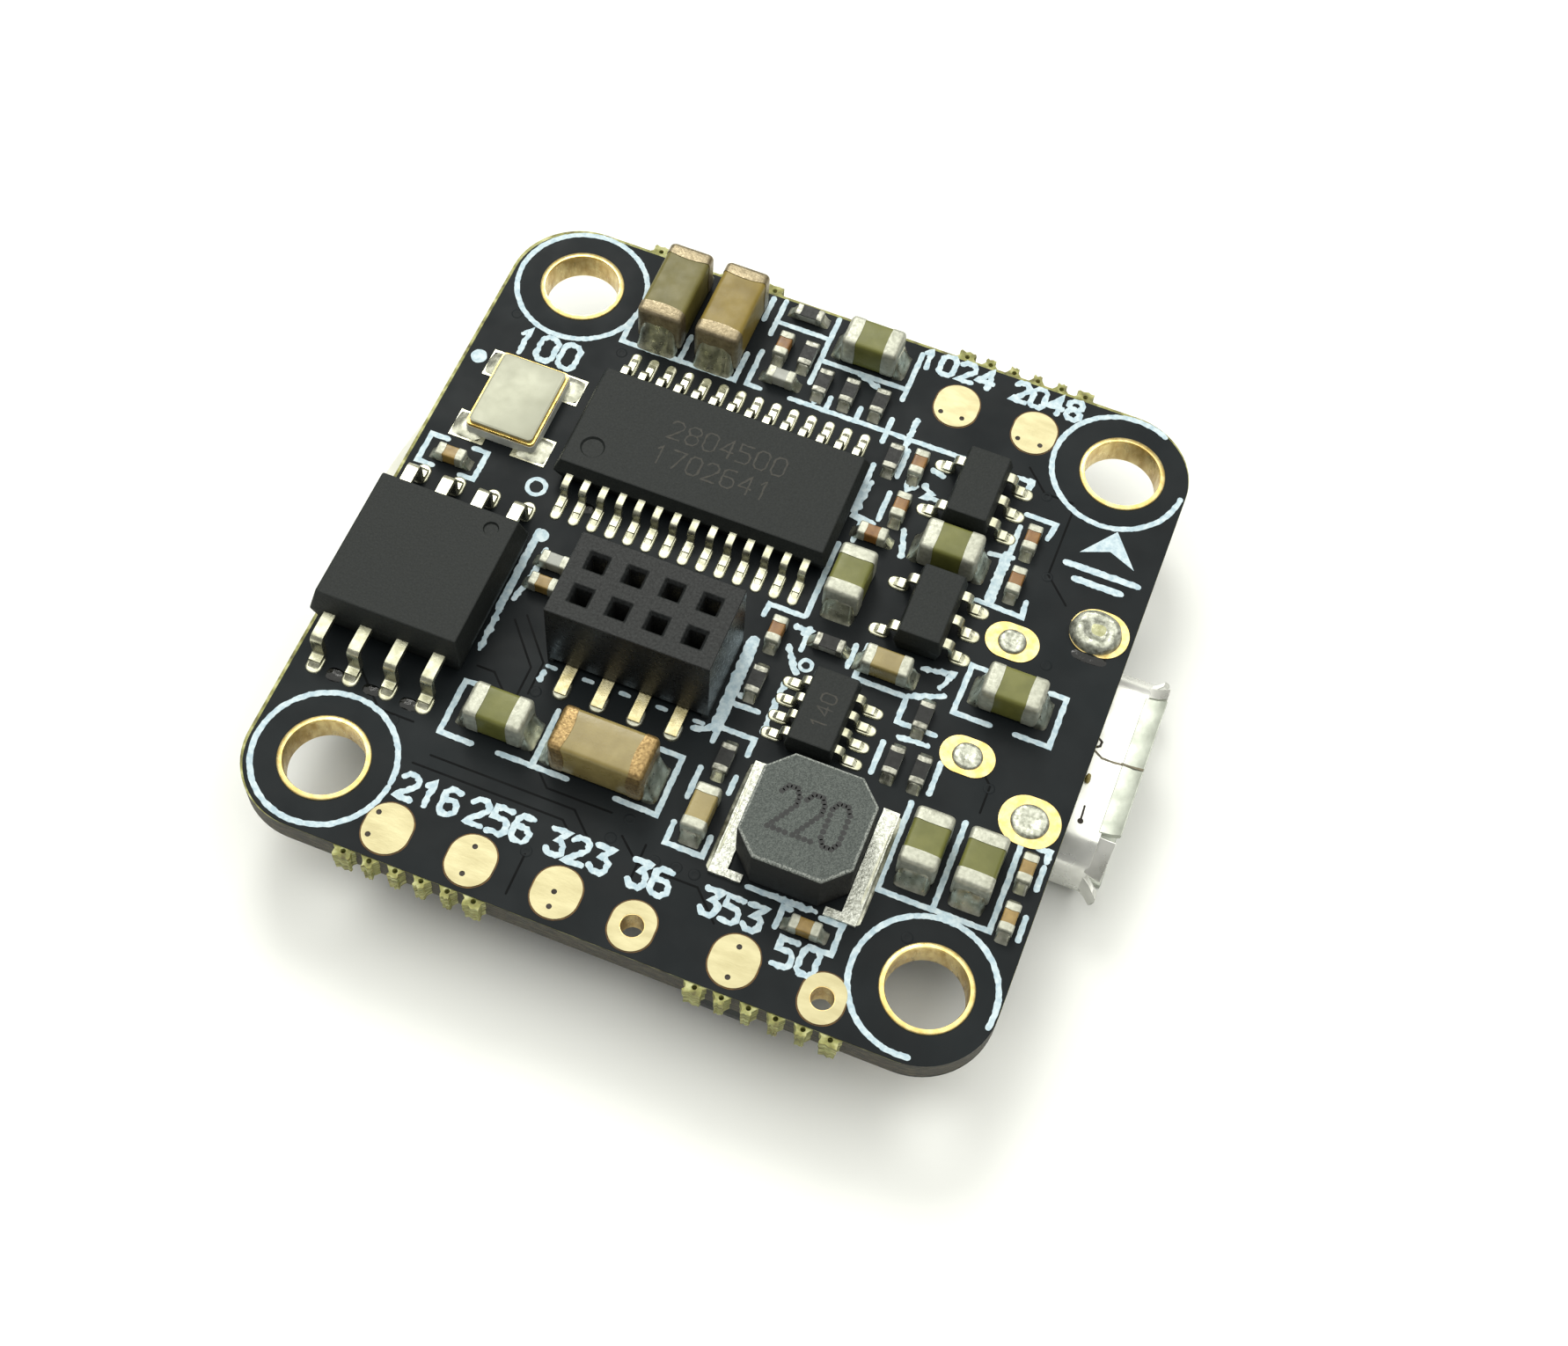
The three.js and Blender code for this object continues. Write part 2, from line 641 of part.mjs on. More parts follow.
// A foot on the board that turns up into the socket as a blade beside its hole's outer wall.
function makeSocketContact(column, rowSide) {
  const { x, y, columns, pitch, holeHalf, footEnd } = SOCKET;
  const { contactWidth, contactThickness, contactTop } = SOCKET;
  const blade = pitch / 2 + holeHalf - CLEARANCE;
  const profile = [
    [blade - contactThickness, TOP],
    [footEnd, TOP],
    [footEnd, TOP + contactThickness],
    [blade, TOP + contactThickness],
    [blade, TOP + contactTop],
    [blade - contactThickness, TOP + contactTop],
  ];
  const contactX = x + (column - (columns - 1) / 2) * pitch;
  return profileSolid(profile, contactWidth, contactX, y, rowSide > 0 ? TO_REAR : TO_FRONT);
}

addPiece("header_socket", makeSocketBody(), COLOUR.blackPlastic, 0.7);
for (const [label, rowSide] of [["front", -1], ["rear", 1]]) {
  for (let column = 0; column < SOCKET.columns; column++) {
    const name = `socket_contact_${label}_${column + 1}`;
    addPiece(name, makeSocketContact(column, rowSide), COLOUR.gold, 0.35, 0.9);
  }
}

// ---------------------------------------------------------------- chip capacitors

// Case code to size. The metal ends stand slightly proud of the ceramic on the larger ones.
const CASES = {
  1206: { length: 3.2, width: 1.6, height: 1.7, end: 0.5 },
  "0805": { length: 2.0, width: 1.25, height: 1.25, end: 0.42 },
  "0603": { length: 1.6, width: 0.8, height: 0.8, end: 0.32 },
  "0402": { length: 1.0, width: 0.5, height: 0.5, end: 0 },
};
const END_PROUD = 0.03;

const CAPACITORS = {
  1206: [
    { x: -6.57, y: 10.3, along: "y", color: COLOUR.oliveCeramic },
    { x: -4.47, y: 10.3, along: "y", color: COLOUR.tanCeramic },
    { x: -1.86, y: -6.87, along: "x", color: COLOUR.tanCeramic },
  ],
  "0805": [
    { x: 0.45, y: 11.18, along: "x", color: COLOUR.oliveCeramic },
    { x: -5.46, y: -6.8, along: "x", color: COLOUR.oliveCeramic },
    { x: 2.97, y: 2.1, along: "y", color: COLOUR.oliveCeramic },
    { x: 5.65, y: 4.47, along: "x", color: COLOUR.oliveCeramic },
    { x: 9.27, y: 0.15, along: "x", color: COLOUR.oliveCeramic },
    { x: 8.42, y: -5.88, along: "y", color: COLOUR.oliveCeramic },
    { x: 10.2, y: -5.88, along: "y", color: COLOUR.oliveCeramic },
  ],
  "0603": [
    { x: 5.15, y: -0.31, along: "x", color: COLOUR.tanCeramic },
    { x: 1.58, y: -7.35, along: "y", color: COLOUR.tanCeramic },
  ],
  "0402": [
    { x: -2.49, y: 10.22, along: "y", color: COLOUR.brownCeramic },
    { x: -11.1, y: 1.62, along: "x", color: COLOUR.brownCeramic },
    { x: 1.4, y: -0.45, along: "y", color: COLOUR.brownCeramic },
    { x: 3.0, y: 4.25, along: "x", color: COLOUR.brownCeramic },
    { x: 3.5, y: 5.6, along: "y", color: COLOUR.brownCeramic },
    { x: 3.5, y: 7.44, along: "y", color: COLOUR.brownCeramic },
    { x: 7.98, y: 6.1, along: "y", color: COLOUR.brownCeramic },
    { x: 8.0, y: 4.35, along: "y", color: COLOUR.brownCeramic },
    { x: 11.58, y: -5.3, along: "y", color: COLOUR.brownCeramic },
    { x: 11.58, y: -7.05, along: "y", color: COLOUR.brownCeramic },
    { x: 5.93, y: -9.68, along: "x", color: COLOUR.brownCeramic },
    { x: -6.2, y: -1.77, along: "x", color: COLOUR.brownCeramic },
  ],
};

function makeCapacitor({ length, width, height, end }, turned) {
  const proud = end > 0 ? END_PROUD : 0;
  let body = block(
    [-length / 2, -width / 2 + proud, TOP + proud],
    [length / 2, width / 2 - proud, TOP + height - proud],
  );
  if (end > 0) {
    for (const side of [-1, 1]) {
      const x0 = side < 0 ? -length / 2 : length / 2 - end;
      body = body.add(block([x0, -width / 2, TOP], [x0 + end, width / 2, TOP + height]));
    }
  }
  const geometry = toGeometry(body);
  return turned ? geometry.rotateZ(Math.PI / 2) : geometry;
}

for (const [code, places] of Object.entries(CAPACITORS)) {
  places.forEach(({ x, y, along, color }, index) => {
    const shape = makeCapacitor(CASES[code], along === "y");
    const name = `capacitor_${code}_${String(index + 1).padStart(2, "0")}`;
    addPiece(name, shape, color, 0.45).position.set(x, y, 0);
  });
}

export default board;
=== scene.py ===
"""Looks of the flight controller board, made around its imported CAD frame.

Lengths are in millimetres and are turned into metres where a mesh is made. +X is the micro-USB
side, +Y the rear edge and +Z up. Chips, connectors and capacitors take their places from the
frame's nodes; what is printed, plated or soldered on the board is placed by the tables here.
"""

import math

import bmesh
import bpy
from mathutils import Matrix, Vector, noise
from mathutils.geometry import tessellate_polygon


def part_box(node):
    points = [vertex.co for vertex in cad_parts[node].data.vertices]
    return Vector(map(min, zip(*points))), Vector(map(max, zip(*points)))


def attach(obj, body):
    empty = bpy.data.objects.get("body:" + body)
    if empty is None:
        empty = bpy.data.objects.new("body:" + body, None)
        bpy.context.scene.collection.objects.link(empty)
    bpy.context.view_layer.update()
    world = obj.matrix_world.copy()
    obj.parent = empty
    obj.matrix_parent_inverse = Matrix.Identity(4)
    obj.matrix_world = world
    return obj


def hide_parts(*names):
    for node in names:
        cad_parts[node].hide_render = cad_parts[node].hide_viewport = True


MM = 0.001
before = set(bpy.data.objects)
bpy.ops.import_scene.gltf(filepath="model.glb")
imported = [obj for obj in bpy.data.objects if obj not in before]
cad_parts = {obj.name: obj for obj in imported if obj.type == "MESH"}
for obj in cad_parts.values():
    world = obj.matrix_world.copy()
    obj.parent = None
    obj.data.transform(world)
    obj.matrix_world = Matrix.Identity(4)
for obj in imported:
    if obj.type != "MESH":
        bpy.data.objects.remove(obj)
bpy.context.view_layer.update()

BODY = "board"
UP, DOWN = 1, -1


def node_box(node):
    """Lowest and highest corner of a CAD node, in millimetres."""
    low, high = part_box(node)
    return Vector(low) / MM, Vector(high) / MM


def footprint(node):
    """Lowest and highest corner, middle x and y, and half sizes of a CAD node."""
    low, high = node_box(node)
    x, y = (low.x + high.x) / 2, (low.y + high.y) / 2
    return low, high, x, y, (high.x - low.x) / 2, (high.y - low.y) / 2


BOARD_LOW, BOARD_HIGH = node_box("circuit_board")
TOP = BOARD_HIGH.z
UNDERSIDE = BOARD_LOW.z
LEFT, RIGHT = BOARD_LOW.x, BOARD_HIGH.x
TOOTH_LENGTH = 0.35
FRONT, REAR = BOARD_LOW.y + TOOTH_LENGTH, BOARD_HIGH.y - TOOTH_LENGTH
PAD_HEIGHT = 0.03
INK_BASE, INK_HEIGHT = TOP - 0.004, 0.018
RIGHT_WAY, REAR_WAY, LEFT_WAY, FRONT_WAY = 0, math.pi / 2, math.pi, -math.pi / 2


# ---------------------------------------------------------------- materials


def new_material(name, metallic=0.0, roughness=0.5):
    material = bpy.data.materials.new(name)
    material.use_nodes = True
    tree = material.node_tree
    shader = tree.nodes["Principled BSDF"]
    shader.inputs["Metallic"].default_value = metallic
    shader.inputs["Roughness"].default_value = roughness
    return material, tree, shader


def add_bump(tree, shader, height, depth):
    """Relief of a height texture, depth millimetres from its lowest to its highest part."""
    bump = tree.nodes.new("ShaderNodeBump")
    bump.inputs["Distance"].default_value = depth * MM
    tree.links.new(height, bump.inputs["Height"])
    tree.links.new(bump.outputs["Normal"], shader.inputs["Normal"])


def add_noise(tree, size_mm, detail=4.0, stretch=None):
    """Noise with features of about size_mm, in the object's own coordinates."""
    coordinates = tree.nodes.new("ShaderNodeTexCoord")
    texture = tree.nodes.new("ShaderNodeTexNoise")
    texture.inputs["Scale"].default_value = 1 / (size_mm * MM)
    texture.inputs["Detail"].default_value = detail
    source = coordinates.outputs["Object"]
    if stretch:
        mapping = tree.nodes.new("ShaderNodeMapping")
        mapping.inputs["Scale"].default_value = stretch
        tree.links.new(source, mapping.inputs["Vector"])
        source = mapping.outputs["Vector"]
    tree.links.new(source, texture.inputs["Vector"])
    return texture.outputs["Fac"]


def add_ramp(tree, factor, stops):
    """Colour ramp through (position, grey or colour) stops."""
    ramp = tree.nodes.new("ShaderNodeValToRGB")
    elements = ramp.color_ramp.elements
    while len(elements) < len(stops):
        elements.new(0.5)
    for element, (position, value) in zip(elements, stops):
        rgb = value if isinstance(value, tuple) else (value, value, value)
        element.position = position
        element.color = (*rgb, 1)
    tree.links.new(factor, ramp.inputs["Fac"])
    return ramp.outputs["Color"]


def srgb(color):
    """Scene-linear colour of an sRGB colour given from 0 to 255."""
    shares = (c / 255 for c in color)
    return tuple(c / 12.92 if c <= 0.04045 else ((c + 0.055) / 1.055) ** 2.4 for c in shares)


def finish_material(
    name, dark, light, patch=1.0, spread=(0.35, 0.65), rough=(0.4, 0.5), metallic=0.0, grain=0.1,
    depth=0.004, stretch=None, coat=0.0, specular=0.5,
):
    """Two-tone surface: patches of colour and gloss, with a fine grain in relief."""
    material, tree, shader = new_material(name, metallic)
    patches = add_noise(tree, patch, 5.0, stretch)
    color = add_ramp(tree, patches, [(spread[0], srgb(dark)), (spread[1], srgb(light))])
    tree.links.new(color, shader.inputs["Base Color"])
    gloss = add_noise(tree, patch * 0.6, 3.0, stretch)
    roughness = add_ramp(tree, gloss, [(0.35, rough[0]), (0.65, rough[1])])
    tree.links.new(roughness, shader.inputs["Roughness"])
    add_bump(tree, shader, add_noise(tree, grain, 6.0, stretch), depth)
    shader.inputs["Coat Weight"].default_value = coat
    shader.inputs["Coat Roughness"].default_value = 0.1
    shader.inputs["Specular IOR Level"].default_value = specular
    return material


def ferrite_material(name, dark, light):
    """Pressed iron powder: grey grains among dark ones."""
    material, tree, shader = new_material(name, roughness=0.75)
    coordinates = tree.nodes.new("ShaderNodeTexCoord")
    cells = tree.nodes.new("ShaderNodeTexVoronoi")
    cells.inputs["Scale"].default_value = 1 / (0.035 * MM)
    tree.links.new(coordinates.outputs["Object"], cells.inputs["Vector"])
    speckle = add_ramp(tree, cells.outputs["Color"], [(0.2, srgb(dark)), (0.85, srgb(light))])
    tree.links.new(speckle, shader.inputs["Base Color"])
    add_bump(tree, shader, cells.outputs["Distance"], 0.01)
    return material


def laminate_material(name, dark, middle, light):
    """Cut edge of woven glass laminate, layered through its thickness."""
    material, tree, shader = new_material(name, roughness=0.6)
    layers = add_noise(tree, 0.35, 4.0, (1, 1, 4))
    stops = [(0.3, srgb(dark)), (0.5, srgb(middle)), (0.7, srgb(light))]
    color = add_ramp(tree, layers, stops)
    tree.links.new(color, shader.inputs["Base Color"])
    add_bump(tree, shader, add_noise(tree, 0.08, 5.0, (1, 1, 3)), 0.03)
    shader.inputs["Subsurface Weight"].default_value = 0.08
    shader.inputs["Subsurface Scale"].default_value = 0.3 * MM
    return material


MASK = finish_material(
    "solder_mask", (14, 19, 22), (20, 26, 29), 2.5, rough=(0.48, 0.58), grain=0.25,
    depth=0.002, specular=0.16,
)
MASK_GROOVE = finish_material(
    "mask_between_tracks", (5, 7, 8), (9, 11, 13), 1.0, rough=(0.5, 0.6),
    grain=0.2, depth=0.002, specular=0.08,
)
EDGE_LAMINATE = laminate_material("routed_edge", (30, 28, 22), (52, 48, 36), (84, 78, 54))
STUB_LAMINATE = laminate_material("bare_laminate", (92, 88, 46), (150, 150, 84), (206, 206, 150))
INK = finish_material(
    "legend_ink", (176, 200, 212), (214, 230, 236), 0.16, rough=(0.5, 0.65),
    grain=0.06, depth=0.006,
)
PALE_GOLD = finish_material(
    "pad_gold", (171, 162, 124), (186, 178, 140), 0.35, rough=(0.34, 0.42),
    metallic=0.7, grain=0.05, depth=0.003, stretch=(0.35, 1, 1),
)
# Dark brown rim round the wire pads: partly the pads' copper edge, partly painted shade along the edge.
PAD_RIM_SHADE = finish_material(
    "pad_rim_painted_shade", (62, 42, 14), (104, 74, 26), 0.3, rough=(0.4, 0.5), metallic=0.4,
    grain=0.08, depth=0.002,
)
RING_GOLD = finish_material(
    "ring_gold", (216, 186, 112), (240, 218, 154), 0.3, rough=(0.26, 0.38),
    metallic=0.8, grain=0.08, depth=0.004,
)
HOLE_GOLD = finish_material(
    "hole_gold", (204, 172, 106), (246, 224, 160), 0.3, rough=(0.24, 0.42),
    metallic=0.8, grain=0.14, depth=0.018, stretch=(1, 1, 0.4),
)
SOLDER = finish_material(
    "solder", (150, 151, 134), (200, 200, 184), 0.3, rough=(0.26, 0.4),
    metallic=0.9, grain=0.5, depth=0.03,
)
DULL_SOLDER = finish_material(
    "dull_solder", (138, 140, 126), (204, 206, 192), 0.16, rough=(0.3, 0.46),
    metallic=0.7, grain=0.12, depth=0.02,
)
GRANULAR_TIN = finish_material(
    "granular_tin", (176, 178, 166), (236, 238, 228), 0.09, rough=(0.3, 0.46),
    metallic=0.6, grain=0.07, depth=0.03,
)
LEAD_TIN = finish_material(
    "tinned_lead", (176, 175, 150), (214, 213, 190), 0.3, rough=(0.24, 0.36),
    metallic=0.95, grain=0.06, depth=0.004,
)
CONTACT_GOLD = finish_material(
    "contact_gold", (196, 184, 138), (226, 216, 176), 0.25, rough=(0.22, 0.34),
    metallic=0.95, grain=0.06, depth=0.004,
)
STEEL = finish_material(
    "plated_steel", (226, 227, 220), (246, 246, 240), 1.2, rough=(0.24, 0.38),
    metallic=0.7, grain=0.12, depth=0.002,
)
MOULDING = finish_material(
    "chip_moulding", (33, 36, 35), (41, 44, 43), 0.07, spread=(0.3, 0.7),
    rough=(0.5, 0.6), grain=0.1, depth=0.012, specular=0.2,
)
LASER_MARK = finish_material(
    "laser_mark", (44, 44, 40), (58, 55, 47), 0.1, rough=(0.6, 0.7), grain=0.05,
    depth=0.004,
)
BLACK_PLASTIC = finish_material(
    "black_plastic", (26, 28, 28), (44, 46, 46), 0.1, rough=(0.46, 0.6), grain=0.08,
    depth=0.016, specular=0.26,
)
VALUE_INK = finish_material(
    "value_ink", (20, 22, 22), (28, 30, 30), 0.1, rough=(0.5, 0.6), grain=0.05,
    depth=0.002,
)
IVORY_PLASTIC = finish_material(
    "ivory_plastic", (222, 222, 208), (236, 236, 226), 1.5, rough=(0.42, 0.52),
    grain=0.12, depth=0.003,
)
# Glossy black flux; the same material paints the shadow and reflection in front of the rear USB leg's
# tall solder.
FLUX_AND_SHADOW = finish_material(
    "glossy_flux_and_painted_shadow", (7, 8, 8), (14, 15, 14), 0.2, rough=(0.06, 0.16), grain=0.25,
    depth=0.03, specular=0.35,
)
SOCKET_SIDE = finish_material(
    "socket_side", (26, 27, 27), (36, 37, 37), 0.2, rough=(0.26, 0.4), grain=0.2,
    depth=0.008, specular=0.4,
)
SEAM = finish_material(
    "sheet_seam", (92, 84, 64), (138, 130, 106), 0.2, rough=(0.4, 0.6), grain=0.1,
    depth=0.002,
)
DIM_TERMINATION = finish_material(
    "dim_termination", (112, 112, 102), (172, 172, 160), 0.16, rough=(0.3, 0.44),
    metallic=0.6, grain=0.1, depth=0.01,
)
OLIVE = finish_material(
    "olive_ceramic", (104, 106, 52), (118, 119, 62), 0.7, rough=(0.34, 0.44),
    grain=0.06, depth=0.003, specular=0.35,
)
OLIVE_TAN = finish_material(
    "olive_tan_ceramic", (104, 98, 50), (116, 109, 60), 0.8, rough=(0.34, 0.44),
    grain=0.08, depth=0.003, specular=0.3,
)
HONEY_TAN = finish_material(
    "honey_tan_ceramic", (128, 109, 46), (144, 124, 58), 0.8, rough=(0.34, 0.44),
    grain=0.08, depth=0.003, specular=0.3,
)
AMBER = finish_material(
    "amber_ceramic", (136, 110, 54), (164, 136, 76), 0.4, rough=(0.34, 0.44),
    grain=0.06, depth=0.003,
)
GOLDEN_TAN = finish_material(
    "golden_tan_ceramic", (142, 126, 76), (160, 144, 92), 0.8, rough=(0.26, 0.36),
    grain=0.08, depth=0.003,
)
BROWN = finish_material(
    "brown_ceramic", (120, 80, 34), (148, 106, 52), 0.4, rough=(0.34, 0.44),
    grain=0.06, depth=0.003,
)
GREY_CERAMIC = finish_material(
    "grey_ceramic", (146, 148, 140), (172, 174, 166), 0.5, rough=(0.4, 0.5),
    grain=0.06, depth=0.003,
)
WHITE_CERAMIC = finish_material(
    "white_ceramic", (196, 198, 192), (220, 222, 216), 0.5, rough=(0.4, 0.5),
    grain=0.06, depth=0.002,
)
RESISTOR_GLAZE = finish_material(
    "resistor_glaze", (20, 21, 20), (32, 33, 32), 0.2, rough=(0.34, 0.46), grain=0.08,
    depth=0.003, specular=0.25,
)
TERMINATION = finish_material(
    "tin_termination", (160, 161, 146), (194, 195, 180), 0.16, spread=(0.3, 0.7),
    rough=(0.36, 0.5), metallic=0.45, grain=0.06, depth=0.008,
)
BRONZED_TERMINATION = finish_material(
    "bronzed_termination", (118, 106, 80), (152, 139, 112), 0.16, spread=(0.3, 0.7),
    rough=(0.28, 0.42), metallic=0.6, grain=0.07, depth=0.01,
)
GOLDEN_TERMINATION = finish_material(
    "golden_termination", (122, 98, 56), (170, 142, 92), 0.1, spread=(0.36, 0.64),
    rough=(0.28, 0.42), metallic=0.5, grain=0.07, depth=0.01,
)
LID_METAL = finish_material(
    "crystal_lid", (158, 159, 140), (168, 169, 151), 1.4, rough=(0.34, 0.44),
    metallic=0.2, grain=0.1, depth=0.001, specular=0.3,
)
GOLD_RIM = finish_material(
    "crystal_rim", (186, 154, 78), (218, 190, 112), 0.3, rough=(0.22, 0.34),
    metallic=0.9, grain=0.08, depth=0.003,
)
CRUMB = finish_material(
    "amber_crumb", (132, 118, 58), (184, 166, 96), 0.1, rough=(0.2, 0.4), grain=0.1,
    depth=0.01,
)
# Darker copy of the shell's plated steel for the flared lips at the mouth: painted shade on the flare.
FLARE_SHADE_STEEL = finish_material(
    "steel_flare_painted_shade", (172, 177, 165), (200, 205, 193), 0.8, rough=(0.34, 0.5),
    metallic=0.6, grain=0.12, depth=0.003,
)
# Dark brown that paints the shade inside holes: in the small vias of the pads and in the slit, hole and
# notch of the USB shell.
HOLE_SHADE = finish_material(
    "painted_hole_shade", (26, 16, 6), (44, 30, 14), 0.2, rough=(0.5, 0.7), grain=0.05,
    depth=0.002,
)
LENS = finish_material(
    "light_lens", (236, 208, 120), (246, 226, 160), 0.4, rough=(0.12, 0.2), grain=0.1,
    depth=0.002, coat=0.4,
)
YELLOWED_FLUX = finish_material(
    "yellowed_flux", (150, 150, 100), (190, 190, 148), 0.16, rough=(0.12, 0.3),
    metallic=0.2, grain=0.12, depth=0.012, coat=0.5,
)
FERRITE = ferrite_material("ferrite_powder", (66, 72, 69), (98, 104, 100))
# Darker copy of the ferrite for the core's upright sides: painted shade.
FERRITE_SIDE_SHADE = ferrite_material("ferrite_side_painted_shade", (8, 9, 8), (24, 25, 24))
# Lighter copy of the ferrite for the core's rounded top edge: painted highlight.
FERRITE_EDGE_HIGHLIGHT = ferrite_material("ferrite_edge_painted_highlight", (90, 96, 92), (168, 172, 166))


# ---------------------------------------------------------------- shape helpers


def circle(x, y, radius, sides=48):
    """Anticlockwise outline of a circle."""
    angles = [math.tau * i / sides for i in range(sides)]
    return [(x + radius * math.cos(angle), y + radius * math.sin(angle)) for angle in angles]


def raised(outline, z):
    """The points of an outline at height z."""
    return [(x, y, z) for x, y in outline]


def rounded_rectangle(x, y, half_x, half_y, radius, steps=6):
    """Anticlockwise outline with round corners."""
    radius = min(radius, half_x, half_y)
    points = []
    for quarter, (sx, sy) in enumerate(((1, -1), (1, 1), (-1, 1), (-1, -1))):
        for i in range(steps + 1):
            angle = (quarter - 1 + i / steps) * math.pi / 2
            corner_x, corner_y = x + sx * (half_x - radius), y + sy * (half_y - radius)
            points.append((corner_x + radius * math.cos(angle), corner_y + radius * math.sin(angle)))
    return points


class Solid:
    """Gathers the faces of one piece, each with the number of its material."""

    def __init__(self):
        self.vertices = []
        self.faces = []
        self.slots = []

    def add(self, vertices, faces, slot=0):
        base = len(self.vertices)
        self.vertices += [tuple(v) for v in vertices]
        self.faces += [tuple(base + i for i in face) for face in faces]
        self.slots += [slot] * len(faces)

    def loft(self, rings, slot=0, closed=False, first=True, last=True):
        """Skin through equal rings, with a flat end at the first and last if asked."""
        size, count = len(rings[0]), len(rings)
        faces = []
        for i in range(count if closed else count - 1):
            j = (i + 1) % count
            for k in range(size):
                m = (k + 1) % size
                faces.append((i * size + k, i * size + m, j * size + m, j * size + k))
        if first and not closed:
            faces.append(tuple(reversed(range(size))))
        if last and not closed:
            faces.append(tuple((count - 1) * size + k for k in range(size)))
        self.add([p for ring in rings for p in ring], faces, slot)

    def flat(self, loops, z, slot=0):
        """Flat face at height z inside loops[0] and outside the others."""
        polygons = [[Vector((x, y, 0)) for x, y in loop] for loop in loops]
        triangles = tessellate_polygon(polygons)
        self.add([(x, y, z) for loop in loops for x, y in loop], triangles, slot)

    def plate(self, outer, low, high, holes=(), slot=0, side_slot=None):
        """Upright plate with holes."""
        loops = [outer, *holes]
        self.flat(loops, low, slot)
        self.flat(loops, high, slot)
        wall = slot if side_slot is None else side_slot
        for loop in loops:
            self.loft([raised(loop, low), raised(loop, high)], wall, first=False, last=False)

    def box(self, low, high, slot=0):
        (x0, y0, z0), (x1, y1, z1) = low, high
        outline = [(x0, y0), (x1, y0), (x1, y1), (x0, y1)]
        self.loft([raised(outline, z0), raised(outline, z1)], slot)

    def lathe(self, profile, x, y, sides=64, slot=0, closed=True):
        """Profile of (radius, height) points turned about an upright axis."""
        rings = [raised(circle(x, y, radius, sides), z) for radius, z in profile]
        self.loft(rings, slot, closed=closed)

    def strip(self, path, width, thickness, place, slot=0):
        """Flat bar along a path of (outwards, up) points, put in place by place()."""
        rings = []
        for i, (out, up) in enumerate(path):
            before = path[max(i - 1, 0)]
            after = path[min(i + 1, len(path) - 1)]
            along = Vector((after[0] - before[0], after[1] - before[1])).normalized()
            normal = Vector((-along.y, along.x)) * thickness / 2
            corners = ((-1, -width / 2), (-1, width / 2), (1, width / 2), (1, -width / 2))
            rings.append([
                place(out + sign * normal.x, side, up + sign * normal.y) for sign, side in corners
            ])
        self.loft(rings, slot)

    def mound(self, height, half_out, half_side, place, slot=0, steps=10, roundness=0.6, taper=0):
        """Low lump over a rounded footprint, narrower at its outer end if it tapers.

        height(u, v) is called with -1 to 1 across the footprint.
        """
        vertices, faces = [], []
        size = steps + 1
        for i in range(size):
            for j in range(size):
                u, v = 2 * i / steps - 1, 2 * j / steps - 1
                pull_u = 1 - roundness + roundness * math.sqrt(1 - v * v / 2)
                pull_v = 1 - roundness + roundness * math.sqrt(1 - u * u / 2)
                rim = i in (0, steps) or j in (0, steps)
                up = 0 if rim else max(height(u, v), 0.002)
                side = half_side * (1 - taper * (u + 1) / 2)
                vertices.append(place(half_out * u * pull_u, side * v * pull_v, up))
        for i in range(steps):
            for j in range(steps):
                a = i * size + j
                faces.append((a, a + size, a + size + 1, a + 1))
        rim = [i * size for i in range(size)]
        rim += [steps * size + j for j in range(1, size)]
        rim += [i * size + steps for i in range(steps - 1, -1, -1)]
        rim += [j for j in range(steps - 1, 0, -1)]
        faces.append(tuple(rim))
        self.add(vertices, faces, slot)

    def piece(self, name, materials, bevel=0.0, sharp=35, body=BODY, replaces=(), segments=2):
        """Makes the object that rides on a CAD body."""
        mesh = bpy.data.meshes.new(name)
        mesh.from_pydata([[c * MM for c in v] for v in self.vertices], [], self.faces)
        for material in materials:
            mesh.materials.append(material)
        mesh.polygons.foreach_set("material_index", self.slots)
        shape = bmesh.new()
        shape.from_mesh(mesh)
        bmesh.ops.remove_doubles(shape, verts=shape.verts, dist=2e-5 * MM)
        bmesh.ops.recalc_face_normals(shape, faces=shape.faces)
        shape.to_mesh(mesh)
        shape.free()
        mesh.shade_smooth()
        mesh.set_sharp_from_angle(angle=math.radians(sharp))
        piece = bpy.data.objects.new(name, mesh)
        bpy.context.scene.collection.objects.link(piece)
        if bevel:
            edges = piece.modifiers.new("rounded_edges", "BEVEL")
            edges.width = bevel * MM
            edges.segments = segments
            edges.limit_method = "ANGLE"
            edges.angle_limit = math.radians(sharp)
            edges.harden_normals = True
        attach(piece, body)
        if replaces:
            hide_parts(*replaces)
        return piece


def facing(x, y, turn, side=UP, lift=0.0):
    """Maker of points: (outwards, sideways, up) from x, y on the board, facing turn."""
    base = TOP + lift if side == UP else UNDERSIDE - lift
    cos, sin = math.cos(turn), math.sin(turn)

    def place(out, sideways, up):
        return (x + out * cos - sideways * sin, y + out * sin + sideways * cos, base + side * up)

    return place


def wobble(x, y, seed, size=0.5):
    """Smooth noise from -1 to 1."""
    return noise.noise(Vector((x / size, y / size, seed * 7.3)))


def resampled(path, step):
    """The same path with points no further apart than step, its own corners kept."""
    points = [Vector(path[0])]
    for start, end in zip(path, path[1:]):
        start, end = Vector(start), Vector(end)
        parts = max(1, math.ceil((end - start).length / step))
        points += [start.lerp(end, i / parts) for i in range(1, parts + 1)]
    return points


